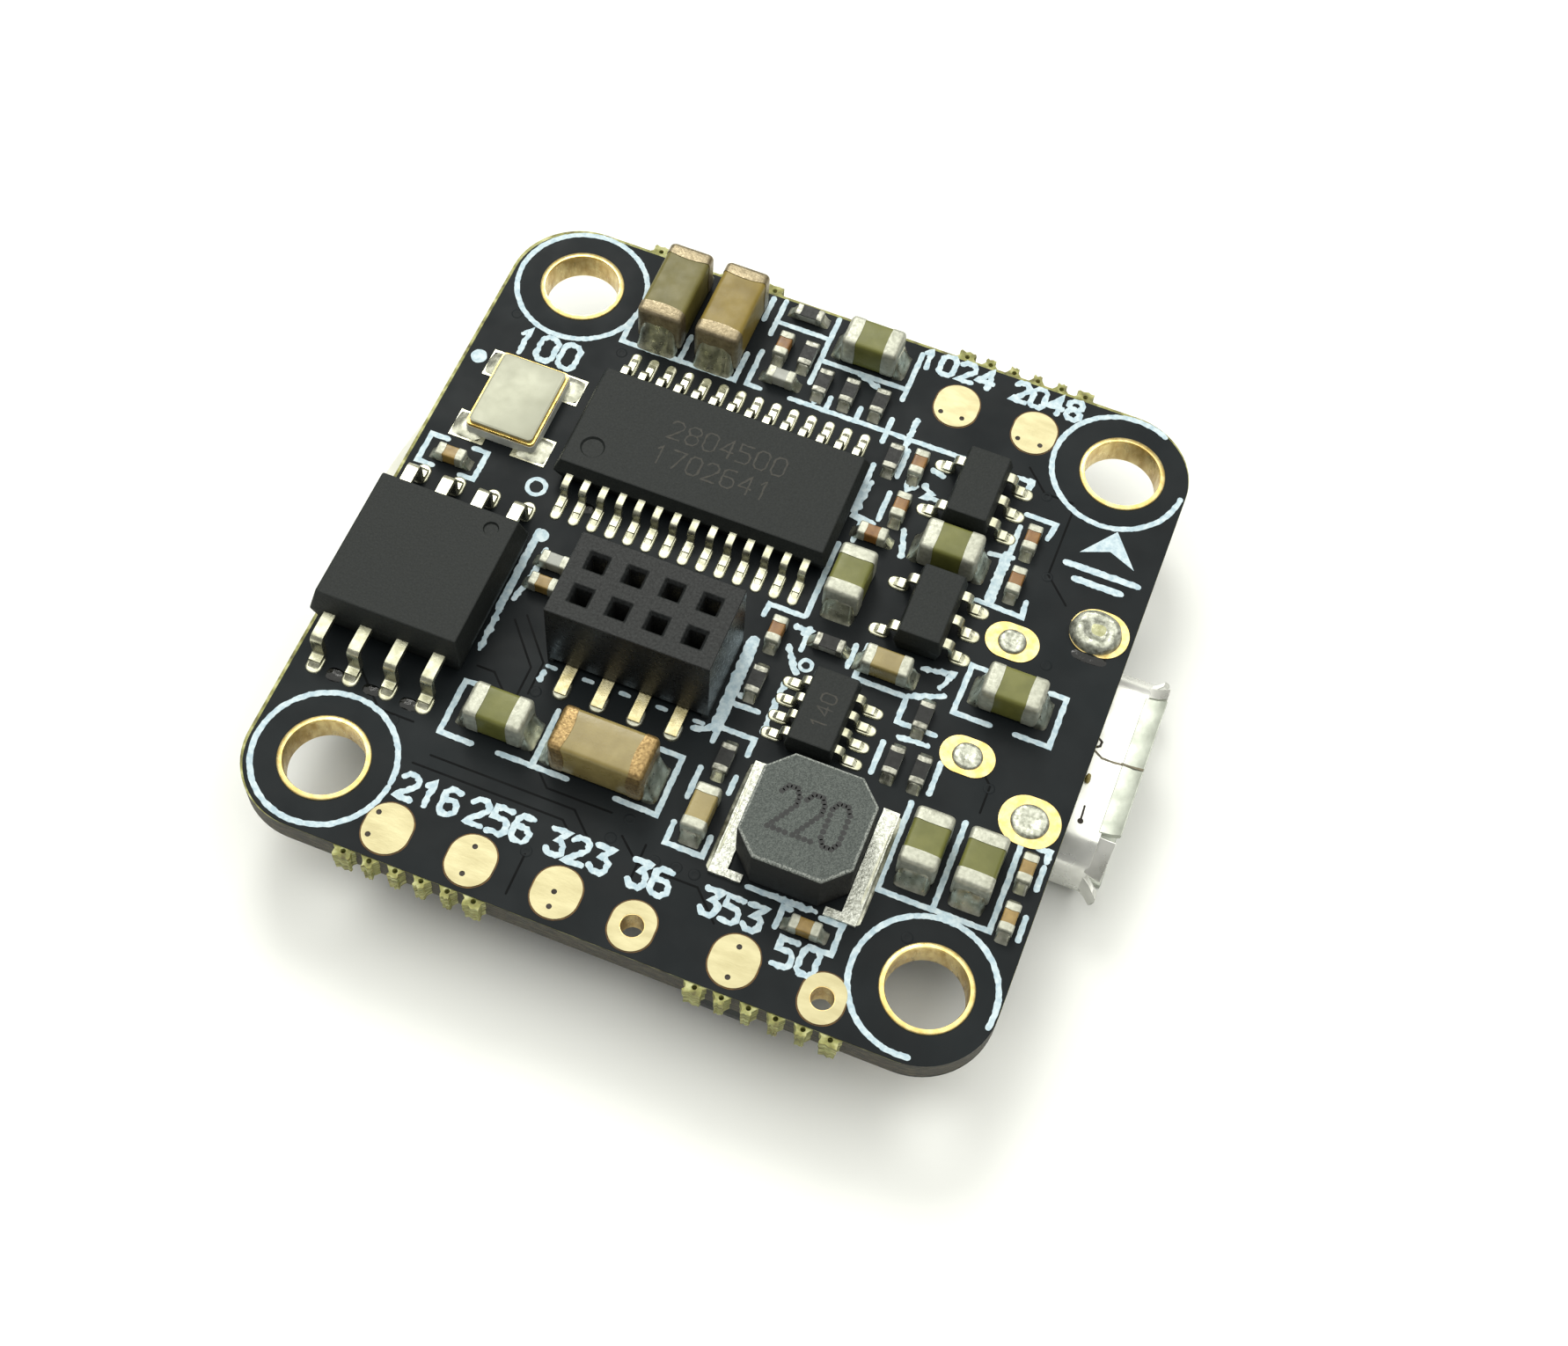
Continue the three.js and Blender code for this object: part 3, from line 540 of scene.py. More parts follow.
def ribbon_stations(path, width, rough, step, seed):
    """Left and right edge points along a line of ink, which wavers and has round ends."""
    points = resampled(path, step)
    last = len(points) - 1
    stations = []
    for i, point in enumerate(points):
        back = (point - points[i - 1]).normalized() if i else points[1] - point
        ahead = (points[i + 1] - point).normalized() if i < last else back
        along = (back.normalized() + ahead.normalized()).normalized()
        normal = Vector((-along.y, along.x))
        square = Vector((-ahead.y, ahead.x)).normalized()
        stations.append((point, normal, 1 / max(0.6, normal.dot(square)), along))
    cap = [(math.sin(a), math.cos(a)) for a in (math.radians(84), math.radians(45))]
    point, normal, _, along = stations[0]
    head = [(point - along * out * width / 2, normal, share, along) for out, share in cap]
    point, normal, _, along = stations[-1]
    tail = [(point + along * out * width / 2, normal, share, along) for out, share in cap]
    edges = []
    for point, normal, share, _ in head + stations + tail[::-1]:
        pair = []
        for sign in (1, -1):
            waver = 1 + 2 * rough * wobble(point.x, point.y, seed + sign, 0.14)
            pair.append(point + normal * sign * share * waver * width / 2)
        edges.append(pair)
    return edges


RIBBON_RISE = 0.003  # along a line, so that it stays clear of itself where it crosses


def add_ribbon(solid, path, width, low, high, rough=0.16, step=0.1, seed=1.0):
    """Line of ink from low to high along a path on the board."""
    rings = []
    stations = ribbon_stations(path, width, rough, step, seed)
    for index, (left, right) in enumerate(stations):
        top = high + RIBBON_RISE * index / len(stations)
        rings.append([(left.x, left.y, low), (right.x, right.y, low), (right.x, right.y, top),
                      (left.x, left.y, top)])
    solid.loft(rings)


# ---------------------------------------------------------------- bare board and its plating

CORNER_RADIUS = 2.5
MASK_MARGIN = 0.06
MASK_SHIFT = 0.052  # the mask sits towards the front right
MASK_THICKNESS = 0.025
TAB_CENTRES = (-5.9, 5.68)
TEETH, TOOTH_PITCH, END_TOOTH_HALF = 6, 0.87, 0.37
HOLES = {"front_left": (-10, -10), "front_right": (10, -10), "rear_left": (-10, 10),
         "rear_right": (10, 10)}
BORE_RADIUS, FLANGE_RADIUS = 1.275, 1.475
FLANGE_LIP, ROUND_OFF = 0.1, 0.03  # how far the flange reaches over the board, and its edge
WIRE_HOLES = ((1.05, -11.52), (7.2, -11.5))
WIRE_HOLE_RADIUS = 0.42
# Legs of the USB shell: place, half sizes of the leg, its pad and its solder, corner radius of the
# pad, and height of the solder.
SHELL_LEGS = (
    ((11.15, 3.7), (0.5, 0.2), (1.0, 0.875), (0.88, 0.8), 0.85, 0.34),
    ((11.15, -3.6), (0.5, 0.2), (1.0, 0.875), (0.62, 0.6), 0.85, 0.12),
    ((8.6, 2.3), (0.3, 0.3), (0.91, 0.675), (0.48, 0.46), 0.7, 0.12),
    ((8.6, -2.2), (0.3, 0.3), (0.91, 0.675), (0.5, 0.48), 0.7, 0.12),
)


def board_outline(inset=0.0):
    """Anticlockwise outline of the board between its snapped-off stubs."""
    middle_x, middle_y = (LEFT + RIGHT) / 2, (FRONT + REAR) / 2
    half_x, half_y = (RIGHT - LEFT) / 2 - inset, (REAR - FRONT) / 2 - inset
    return rounded_rectangle(middle_x, middle_y, half_x, half_y, CORNER_RADIUS - inset, steps=16)


def stub_outline(x, edge_y, outwards, half_root, half_tip, length, seed):
    """Ragged stub left where the board was snapped out of its panel."""
    profile = [(-half_root, -0.12), (-half_root, 0.0), (-half_root * 0.72, 0.25)]
    profile += [(-half_tip, 0.55), (-half_tip * 1.1, 0.8), (-half_tip * 0.9, 1.0)]
    profile += [(-half_tip * 0.3, 0.86), (half_tip * 0.25, 1.0), (half_tip * 0.7, 0.9)]
    profile += [(half_tip * 1.05, 0.94), (half_tip * 1.1, 0.7), (half_tip, 0.5)]
    profile += [(half_root * 0.72, 0.25), (half_root, 0.0), (half_root, -0.12)]
    points = []
    for px, share in profile:
        ragged = 0.05 if share > 0.3 else 0.0
        drift = ragged * wobble(px, share, seed, 0.12)
        reach = length * share * (1 - max(0.0, ragged * 3.2 * wobble(share, px, seed + 5, 0.12)))
        points.append((x + px + drift, edge_y + outwards * reach))
    return points if outwards > 0 else points[::-1]


def make_stubs():
    stubs = Solid()
    for edge_y, outwards in ((FRONT, -1), (REAR, 1)):
        for group, centre in enumerate(TAB_CENTRES):
            for number in range(TEETH):
                x = centre + (number - (TEETH - 1) / 2) * TOOTH_PITCH
                seed = number + 10 * group + outwards * 31.7
                end = number in (0, TEETH - 1)
                half_root = END_TOOTH_HALF if end else 0.3
                half_tip = 0.27 if end else 0.15 + 0.04 * wobble(x, edge_y, 2.0, 0.4)
                outline = stub_outline(x, edge_y, outwards, half_root, half_tip, TOOTH_LENGTH, seed)
                drilled = circle(x + 0.02, edge_y + outwards * 0.1, 0.085, 12)
                middle = (UNDERSIDE + TOP) / 2
                stubs.plate(outline, middle + 0.02, TOP - MASK_THICKNESS - 0.01, [drilled])
                lower = stub_outline(
                    x, edge_y, outwards, half_root * 0.9, half_tip * 0.9, TOOTH_LENGTH * 0.95,
                    seed + 3,
                )
                stubs.plate(lower, UNDERSIDE + MASK_THICKNESS, middle + 0.021)
    stubs.piece("snapped_stubs", [STUB_LAMINATE], sharp=25)


def make_board():
    holes = [circle(x, y, FLANGE_RADIUS - FLANGE_LIP, 64) for x, y in HOLES.values()]
    holes += [circle(x, y, WIRE_HOLE_RADIUS, 32) for x, y in WIRE_HOLES]
    holes += [rounded_rectangle(*leg[0], 0.55, 0.28, 0.25) for leg in SHELL_LEGS[:2]]
    holes += [circle(*leg[0], 0.38, 24) for leg in SHELL_LEGS[2:]]
    core = Solid()
    low, high = UNDERSIDE + MASK_THICKNESS, TOP - MASK_THICKNESS
    core.plate(board_outline(), low, high, holes, slot=1, side_slot=0)
    core.piece("laminate_core", [EDGE_LAMINATE, STUB_LAMINATE], sharp=40, replaces=["circuit_board"])
    mask_holes = [circle(x, y, FLANGE_RADIUS, 64) for x, y in HOLES.values()] + holes[4:]
    for label, low, high in (
        ("solder_mask_top", TOP - MASK_THICKNESS, TOP),
        ("solder_mask_under", UNDERSIDE, UNDERSIDE + MASK_THICKNESS),
    ):
        mask = Solid()
        outline = [(x + MASK_SHIFT, y - MASK_SHIFT) for x, y in board_outline(MASK_MARGIN)]
        mask.plate(outline, low, high, mask_holes)
        mask.piece(label, [MASK])
    make_stubs()


def make_plated_holes():
    """Rolled gold flange on each face and a rougher gold barrel between them."""
    for corner, (x, y) in HOLES.items():
        low, high = node_box(f"mounting_ring_{corner}")
        inner, outer, barrel = BORE_RADIUS, FLANGE_RADIUS, FLANGE_RADIUS - FLANGE_LIP
        lower = [(inner, UNDERSIDE + ROUND_OFF), (inner + ROUND_OFF, low.z),
                 (outer - ROUND_OFF, low.z), (outer, low.z + ROUND_OFF), (outer, UNDERSIDE)]
        upper = [(outer, TOP), (outer, high.z - ROUND_OFF), (outer - ROUND_OFF, high.z),
                 (inner + ROUND_OFF, high.z), (inner, TOP - ROUND_OFF)]
        ring = Solid()
        ring.lathe([*lower, (barrel, UNDERSIDE), (barrel, TOP), *upper], x, y, sides=96)
        ring.slots = [int(is_bore(ring, face, x, y)) for face in ring.faces]
        ring.piece(f"plated_hole_{corner}", [RING_GOLD, HOLE_GOLD], sharp=50,
                   replaces=[f"mounting_ring_{corner}"])


def is_bore(ring, face, x, y):
    """True for the faces of the barrel's inside."""
    radii = [math.hypot(ring.vertices[i][0] - x, ring.vertices[i][1] - y) for i in face]
    return max(radii) < BORE_RADIUS + 0.02


# Wire pads: centre, and the middles of the small vias in them.
WIRE_PADS = (
    ((3.87, 10.4), ((3.43, 9.97), (4.2, 9.97))),
    ((6.7, 10.4), ((6.24, 9.96), (7.04, 9.97))),
    ((-7.13, -11.43), ((-7.61, -11.03), (-7.6, -11.83))),
    ((-4.33, -11.43), ((-4.4, -10.96), (-4.39, -11.92))),
    ((-1.5, -11.4), ((-1.57, -11.4), (-1.52, -11.9))),
    ((4.32, -11.4), ((4.3, -10.92), (4.33, -11.95))),
)
UNDERSIDE_PADS = ((-10.3, -7.0), (-10.3, 7.0), (9.9, 6.6), (9.9, -6.6))
WIRE_PAD_HALF = (0.76, 0.865)
THROUGH_PAD_HALF = (0.71, 0.83)
VIA_RADIUS = 0.09


def shaded_rim_outline(x, y, half, radius):
    """Outline just outside a pad, where a dark brown rim stands partly for the pad's copper edge and
    partly for painted shade along that edge.
    """
    grow = 0.045
    return rounded_rectangle(x, y, half[0] + grow, half[1] + grow, radius, 10)


def make_wire_pads():
    """Gold pads and their dark rims of copper edge and painted shade, barrels of the wire holes, and
    painted shade in the small vias.
    """
    for side, low in ((UP, TOP), (DOWN, UNDERSIDE - PAD_HEIGHT)):
        pads = Solid()
        high = low + PAD_HEIGHT
        label = "top" if side == UP else "under"
        for (x, y), vias in WIRE_PADS if side == UP else ():
            outline = rounded_rectangle(x, y, *WIRE_PAD_HALF, 0.74, steps=10)
            holes = [circle(vx, vy, VIA_RADIUS, 16) for vx, vy in vias]
            pads.plate(outline, low, high, holes)
        for x, y in WIRE_HOLES:
            outline = rounded_rectangle(x, y, *THROUGH_PAD_HALF, 0.7, steps=10)
            pads.plate(outline, low, high, [circle(x, y, WIRE_HOLE_RADIUS - 0.03, 32)])
        for x, y in UNDERSIDE_PADS if side == DOWN else ():
            pads.plate(rounded_rectangle(x, y, 0.8, 0.6, 0.2), low, high)
        pads.piece(f"wire_pads_{label}", [PALE_GOLD], bevel=0.012)
    rims, barrels = Solid(), Solid()
    # dark rims round the pads: copper edge and painted shade
    for (x, y), _ in WIRE_PADS:
        rims.plate(shaded_rim_outline(x, y, WIRE_PAD_HALF, 0.78), INK_BASE, TOP + 0.006)
    for x, y in WIRE_HOLES:
        bore = circle(x, y, WIRE_HOLE_RADIUS, 32)
        rims.plate(shaded_rim_outline(x, y, THROUGH_PAD_HALF, 0.74), INK_BASE, TOP + 0.006, [bore])
        inner, outer = WIRE_HOLE_RADIUS - 0.05, WIRE_HOLE_RADIUS - 0.005
        low, high = UNDERSIDE - 0.02, TOP + 0.02
        barrels.lathe([(inner, low), (outer, low), (outer, high), (inner, high)], x, y, 32)
    rims.piece("wire_pad_shaded_rims", [PAD_RIM_SHADE])
    barrels.piece("wire_hole_barrels", [HOLE_GOLD])
    # painted shade inside the small vias: dark discs in the holes of the pads
    dots = Solid()
    for _, vias in WIRE_PADS:
        for x, y in vias:
            dots.plate(circle(x, y, VIA_RADIUS + 0.005, 16), TOP + 0.001, TOP + 0.012)
    dots.piece("pad_via_painted_shade", [HOLE_SHADE])


# ---------------------------------------------------------------- legend ink

# Digits on a grid 4 wide and 6 high.
STROKES = {
    "0": [[(1, 0), (0, 1), (0, 5), (1, 6), (3, 6), (4, 5), (4, 1), (3, 0), (1, 0)]],
    "1": [[(0.8, 4.8), (2, 6), (2, 0)]],
    "2": [[(0, 5), (1, 6), (3, 6), (4, 5), (4, 3.8), (0, 0), (4, 0)]],
    "3": [[(0, 6), (4, 6), (2, 3.6), (3, 3.6), (4, 2.6), (4, 1), (3, 0), (1, 0), (0, 1)]],
    "4": [[(3, 0), (3, 6), (0, 2), (4, 2)]],
    "5": [[(4, 6), (0, 6), (0, 3.6), (3, 3.6), (4, 2.6), (4, 1), (3, 0), (0, 0)]],
    "6": [[(3.6, 6), (1, 6), (0, 5), (0, 1), (1, 0), (3, 0), (4, 1), (4, 2.6), (3, 3.4), (0, 3.4)]],
    "7": [[(0, 6), (4, 6), (1.4, 0)]],
    "8": [
        [(1, 3.2), (0, 4), (0, 5), (1, 6), (3, 6), (4, 5), (4, 4), (3, 3.2), (1, 3.2)],
        [(1, 3.2), (0, 2.2), (0, 1), (1, 0), (3, 0), (4, 1), (4, 2.2), (3, 3.2)],
    ],
    "9": [[(0.4, 0), (3, 0), (4, 1), (4, 5), (3, 6), (1, 6), (0, 5), (0, 3.6), (1, 2.8), (4, 2.8)]],
}
LINE, LABEL_LINE = 0.19, 0.2


def digit_paths(text, left, base, height, width=None, turn=0.0):
    """Stroke paths of a number whose lower left corner is at left, base."""
    unit_y = height / 6
    advance = (width / len(text)) if width else height * 0.86
    unit_x = advance * 0.7 / 4
    cos, sin = math.cos(turn), math.sin(turn)
    paths = []
    for index, digit in enumerate(text):
        for stroke in STROKES[digit]:
            flat = [(index * advance + px * unit_x, py * unit_y) for px, py in stroke]
            paths.append([(left + x * cos - y * sin, base + x * sin + y * cos) for x, y in flat])
    return paths


# Numbers that mark the pads: text, left, base line, height, width.
LABELS = (
    ("1024", 2.08, 11.5, 0.78, 2.85),
    ("2048", 5.52, 11.45, 0.78, 2.6),
    ("100", -11.15, 6.52, 1.0, 2.5),
    ("216", -7.42, -10.3, 0.82, 2.15),
    ("256", -5.08, -10.3, 0.85, 2.25),
    ("323", -2.42, -10.3, 0.85, 2.2),
    ("36", 0.3, -10.3, 0.85, 1.5),
    ("353", 2.7, -10.3, 0.82, 2.1),
    ("50", 5.38, -11.02, 0.88, 1.5),
)

SILK_LINES = (
    # frames round the two large capacitors at the rear left, and the parts beside them
    ((-7.8, 9.6), (-7.8, 8.38), (-5.65, 8.38), (-5.65, 9.5)),
    ((-5.65, 8.38), (-3.6, 8.38), (-3.6, 9.6)),
    ((-3.6, 11.2), (-3.6, 12.2)),
    ((-3.15, 10.7), (-3.15, 12.25)),
    ((-3.15, 9.9), (-3.15, 8.4), (-2.65, 8.4)),
    ((-3.1, 11.3), (-1.2, 11.3)),
    ((-1.15, 12.25), (-1.15, 9.3)),
    ((-1.15, 10.35), (2.05, 10.35)),
    ((2.05, 12.0), (2.05, 9.9)),
    ((-1.55, 8.42), (4.85, 8.45)),
    ((-0.25, 8.42), (-0.25, 9.0)),
    ((0.85, 8.42), (0.85, 9.0)),
    ((2.0, 9.0), (2.0, 8.0)),
    # right of the wide chip
    ((2.05, 7.0), (2.05, 5.0)),
    ((2.05, 3.6), (2.05, 0.6)),
    ((7.5, 7.15), (8.55, 7.15), (8.45, 6.5)),
    ((8.55, 3.9), (8.6, 3.3), (7.0, 3.35)),
    # bracket round the capacitor behind the flash chip
    ((-11.55, 2.3), (-12.15, 2.3), (-12.15, 1.15), (-11.6, 1.15)),
    ((-10.6, 2.3), (-10.1, 2.3), (-10.1, 1.15), (-10.6, 1.15)),
    # frames in front of the header socket, and right of it
    ((-6.5, -5.8), (-7.1, -5.85), (-7.1, -7.8), (-6.0, -7.8)),
    ((-5.1, -7.78), (-2.75, -7.78)),
    ((-3.95, -5.7), (-3.95, -7.7)),
    ((-0.5, -5.7), (0.3, -5.7), (0.3, -7.85), (-1.1, -7.82)),
    ((0.75, 0.1), (0.8, 0.55), (2.0, 0.55)),
    ((1.0, -3.3), (1.9, -3.3)),
    ((0.95, -4.8), (0.95, -4.25), (2.15, -4.25), (2.15, -4.85)),
    ((0.95, -5.8), (0.95, -6.9)),
    ((2.1, -5.7), (2.1, -6.3)),
    ((0.9, -7.85), (0.9, -8.6), (2.15, -8.6), (2.15, -7.9)),
    # bracket round the capacitor by the USB receptacle
    ((8.15, 0.98), (7.68, 0.98), (7.65, -0.88), (8.9, -0.88)),
    ((10.35, 0.98), (10.9, 0.98), (10.9, -0.88), (9.75, -0.88)),
    ((9.3, -4.4), (9.3, -7.5)),
    ((7.5, -4.4), (7.5, -7.55), (11.15, -7.55), (11.15, -4.4)),
    ((12.05, -4.9), (12.05, -5.7)),
    ((12.05, -6.7), (12.05, -7.5)),
    ((3.8, -9.0), (5.8, -9.0)),
    ((6.25, -9.1), (6.95, -9.1), (6.95, -10.1), (6.25, -10.1)),
    ((5.3, -9.2), (5.05, -9.2), (5.05, -9.9)),
    ((6.1, -1.0), (6.1, -1.9), (7.4, -1.9)),
    ((5.95, -2.75), (5.95, -3.9)),
    ((7.9, -2.75), (7.9, -3.9)),
    ((4.3, 0.35), (4.3, -0.95), (6.0, -0.95)),
    ((2.35, 0.2), (2.35, -0.65)),
    ((3.95, 0.2), (3.95, -0.65)),
    ((6.84, 5.2), (7.6, 5.35)),
    ((2.45, 3.9), (2.45, 4.65)),
    ((2.95, 6.15), (2.95, 5.0)),
    ((2.95, 8.0), (2.95, 6.85)),
    ((7.45, 5.4), (7.45, 6.6)),
)
BROAD_LINES = (
    (((-7.25, 0.15), (-7.25, -3.0)), 0.26),
    (((0.82, -0.95), (0.88, -4.3)), 0.42),
    (((7.4, 5.35), (7.4, 3.45)), 0.36),
)
RAGGED_MARKS = (
    ((2.23, 6.3), (2.14, 4.85), (2.85, 4.78)),
    ((3.36, 6.79), (3.45, 6.5), (3.7, 6.72)),
    ((3.95, 6.9), (4.25, 6.65), (4.05, 6.42), (4.5, 6.5)),
    ((3.9, 4.95), (4.15, 3.95)),
    ((6.78, 8.44), (7.24, 8.44), (7.24, 8.12)),
    ((6.25, 0.22), (7.2, 0.42), (7.0, -0.22)),
    ((1.9, 0.1), (2.45, 0.14), (2.2, -0.05)),
    ((1.96, -0.66), (2.1, -0.98), (2.5, -1.5)),
    ((6.15, -0.88), (7.2, -0.45)),
    ((6.35, -2.39), (7.3, -2.35)),
    ((11.38, -4.27), (12.05, -4.36), (12.05, -4.7)),
    ((2.8, 9.3), (2.8, 8.0)),
    ((4.0, 7.6), (4.4, 7.5)),
    ((4.75, -8.98), (6.0, -8.98)),
    ((-6.95, -2.5), (-6.75, -1.4), (-6.75, -0.4)),
    ((-7.2, -3.1), (-7.2, -4.6)),
    ((0.95, -4.1), (0.55, -4.5), (0.2, -4.6)),
    ((-4.95, -4.6), (-4.95, -4.9)),
    ((2.3, -2.0), (2.3, -3.9)),
    ((-0.75, 8.6), (-0.75, 8.9)),
    ((0.35, 10.3), (1.1, 10.05)),
)
SILK_RINGS = ((-8.05, 1.72, 0.31, 0.15), (2.7, -1.13, 0.2, 0.13))
SILK_DOTS = ((-12.05, 5.83, 0.28), (-7.1, 0.05, 0.25), (1.2, -2.95, 0.12))
HOLE_RING_OUTER = 2.38
HOLE_RING_SHIFT = 0.13  # of the right rings, which would reach past the board's edge


def add_ring_ink(solid, x, y, outer, width, start, end, low, seed):
    """Ring of ink from one angle to another, in degrees."""
    steps = max(24, int(abs(end - start) / 4))
    middle = outer - width / 2
    path = []
    for i in range(steps + 1):
        angle = math.radians(start + (end - start) * i / steps)
        path.append((x + middle * math.cos(angle), y + middle * math.sin(angle)))
    add_ribbon(solid, path, width, low, low + INK_HEIGHT, seed=seed)


def make_legend():
    ink = Solid()
    ink_lines = [(path, LINE) for path in SILK_LINES] + list(BROAD_LINES)
    for index, (path, width) in enumerate(ink_lines):
        low = INK_BASE + 0.002 * (index % 4)
        add_ribbon(ink, path, width, low, low + INK_HEIGHT, seed=index)
    for index, path in enumerate(RAGGED_MARKS):
        low = TOP - 0.003 + 0.0015 * (index % 3)
        add_ribbon(ink, path, LABEL_LINE, low, low + INK_HEIGHT, 0.45, 0.08, index + 40)
    for index, (text, left, base, height, width) in enumerate(LABELS):
        for k, path in enumerate(digit_paths(text, left, base, height, width)):
            low = INK_BASE + 0.003 * (k % 2)
            add_ribbon(ink, path, LABEL_LINE, low, low + INK_HEIGHT, 0.3, 0.08, index + k)
    for x, y, outer, width in SILK_RINGS:
        add_ring_ink(ink, x, y, outer + width / 2, width, 0, 355, INK_BASE, x)
    for x, y, radius in SILK_DOTS:
        outline = [
            (px + 0.03 * wobble(px, py, 3.0, 0.2), py + 0.03 * wobble(px, py, 5.0, 0.2))
            for px, py in circle(x, y, radius, 20)
        ]
        ink.plate(outline, INK_BASE, TOP + INK_HEIGHT)
    dash_y = node_box("header_socket")[0].y - 0.18
    for column in range(5):
        x = -4.79 + column * 1.27
        add_ribbon(ink, [(x - 0.14, dash_y), (x + 0.14, dash_y)], 0.15, TOP, TOP + INK_HEIGHT)
    arcs = {"front_left": (0, 356), "front_right": (-12, 278), "rear_left": (0, 357),
            "rear_right": (62, 354)}
    for corner, (start, end) in arcs.items():
        x, y = HOLES[corner]
        x -= HOLE_RING_SHIFT if x > 0 else 0
        add_ring_ink(ink, x, y, HOLE_RING_OUTER, LINE, start, end, INK_BASE, x)
    ink.piece("legend_ink_top", [INK], sharp=60)
    make_forward_mark()


def make_forward_mark():
    """Plain forward arrow over two short bars, printed near the USB corner."""
    mark = Solid()
    x, y = 10.55, 6.85
    arrow = [(x - 0.95, y - 0.4), (x, y + 0.85), (x + 0.95, y - 0.4), (x, y)]
    mark.plate([(px, py) for px, py in reversed(arrow)], INK_BASE, TOP + INK_HEIGHT)
    for drop, half in ((0.95, 1.25), (1.45, 0.8)):
        path = [(x - half, y - drop), (x + half, y - drop)]
        add_ribbon(mark, path, 0.24, INK_BASE, TOP + INK_HEIGHT)
    mark.piece("forward_mark", [INK], sharp=60)


# ---------------------------------------------------------------- copper seen through the mask

TRACKS = (
    ((-7.0, -8.65), (-2.1, -8.65), (-1.2, -9.5)),
    ((-7.4, -9.1), (-2.3, -9.1), (-1.7, -9.65)),
    ((-6.6, -3.2), (-5.4, -4.6), (-5.4, -5.7)),
    ((-6.3, -2.9), (-5.1, -4.3), (-5.1, -5.5)),
    ((-7.0, -5.2), (-6.4, -5.2), (-3.2, -8.3), (-1.0, -8.3)),
    ((-10.9, -6.2), (-9.2, -7.8), (-8.0, -7.8)),
    ((3.3, -10.5), (2.4, -9.6), (0.4, -9.6), (-0.4, -8.9)),
    ((8.9, 8.0), (8.9, 5.2), (9.8, 4.3)),
    ((-11.6, -7.2), (-12.0, -6.8), (-12.0, 0.2)),
    ((8.3, -1.6), (9.6, -2.9), (9.6, -3.9)),
    ((7.0, 9.0), (7.8, 8.2), (8.8, 8.2)),
    ((0.4, -8.9), (0.4, -10.4)),
    ((-2.9, -10.6), (-2.9, -12.0)),
)
TENTED_VIAS = (
    (-0.4, -8.3), (-0.7, -9.1), (0.85, -9.3), (1.55, -9.25), (2.15, -9.25), (9.6, -3.0),
    (-8.6, -8.0), (-11.6, 8.0), (8.9, 5.1), (-11.9, 0.4), (-7.6, 7.9), (9.9, 1.9), (8.9, -8.7),
    (-2.9, -10.5), (7.9, 8.1), (-4.9, -5.35),
)


def make_tracks():
    """The gaps between copper areas show through the mask as fine dark lines."""
    grooves = Solid()
    for index, path in enumerate(TRACKS):
        high = TOP + 0.002 + 0.0004 * index
        add_ribbon(grooves, path, 0.07, TOP - 0.006, high, 0.0, 0.6, index)
    for x, y in TENTED_VIAS:
        grooves.lathe(
            [(0.02, TOP - 0.004), (0.2, TOP - 0.004), (0.19, TOP + 0.004), (0.13, TOP + 0.011),
             (0.08, TOP + 0.001), (0.02, TOP - 0.001)],
            x, y, 24, slot=1,
        )
    grooves.piece("gaps_between_tracks_top", [MASK_GROOVE, MASK], sharp=50)


# ---------------------------------------------------------------- solder


FILLET_TUCK = 0.1  # how far a fillet starts inside the part's face


def fillet(solid, place, width, reach, height, seed=0.0, slot=0, taper=0.1):
    """Solder running down from an upright end face: place() starts at the face and faces out."""
    middle, half = (reach - FILLET_TUCK) / 2, (reach + FILLET_TUCK) / 2

    def shifted(out, sideways, up):
        return place(out + middle, sideways, up)

    def surface(u, v):
        out = middle + half * u
        across = 1 - 0.6 * abs(v) ** 6
        run = 1.0 if out <= 0 else max(0.0, 1 - out / reach) ** 1.5
        lumps = 1 + 0.16 * wobble(u, v * 1.6, seed + 11, 0.6)
        return height * run * across * lumps + 0.02

    solid.mound(surface, half, width / 2, shifted, slot, roundness=0.25, taper=taper)


def solder_bed(solid, place, out0, out1, width, height):
    """Round-ended pillow of solder from out0 to out1 in front of place()."""
    middle, half = (out0 + out1) / 2, (out1 - out0) / 2
    rings = []
    for up, inset in ((0.0, 0.0), (0.55, 0.01), (0.88, 0.035), (1.0, 0.08)):
        outline = rounded_rectangle(middle, 0, half - inset, width / 2 - inset, width * 0.48 - inset, 5)
        rings.append([place(out, sideways, height * up) for out, sideways in outline])
    solid.loft(rings)


def land(solid, place, out0, out1, width, slot=0):
    """Tinned pad from out0 to out1 in front of place()."""
    corners = [(out0, -width / 2), (out1, -width / 2), (out1, width / 2), (out0, width / 2)]
    rings = [[place(o, s, up) for o, s in corners] for up in (0.0, PAD_HEIGHT)]
    solid.loft(rings, slot)


# ---------------------------------------------------------------- leaded chips

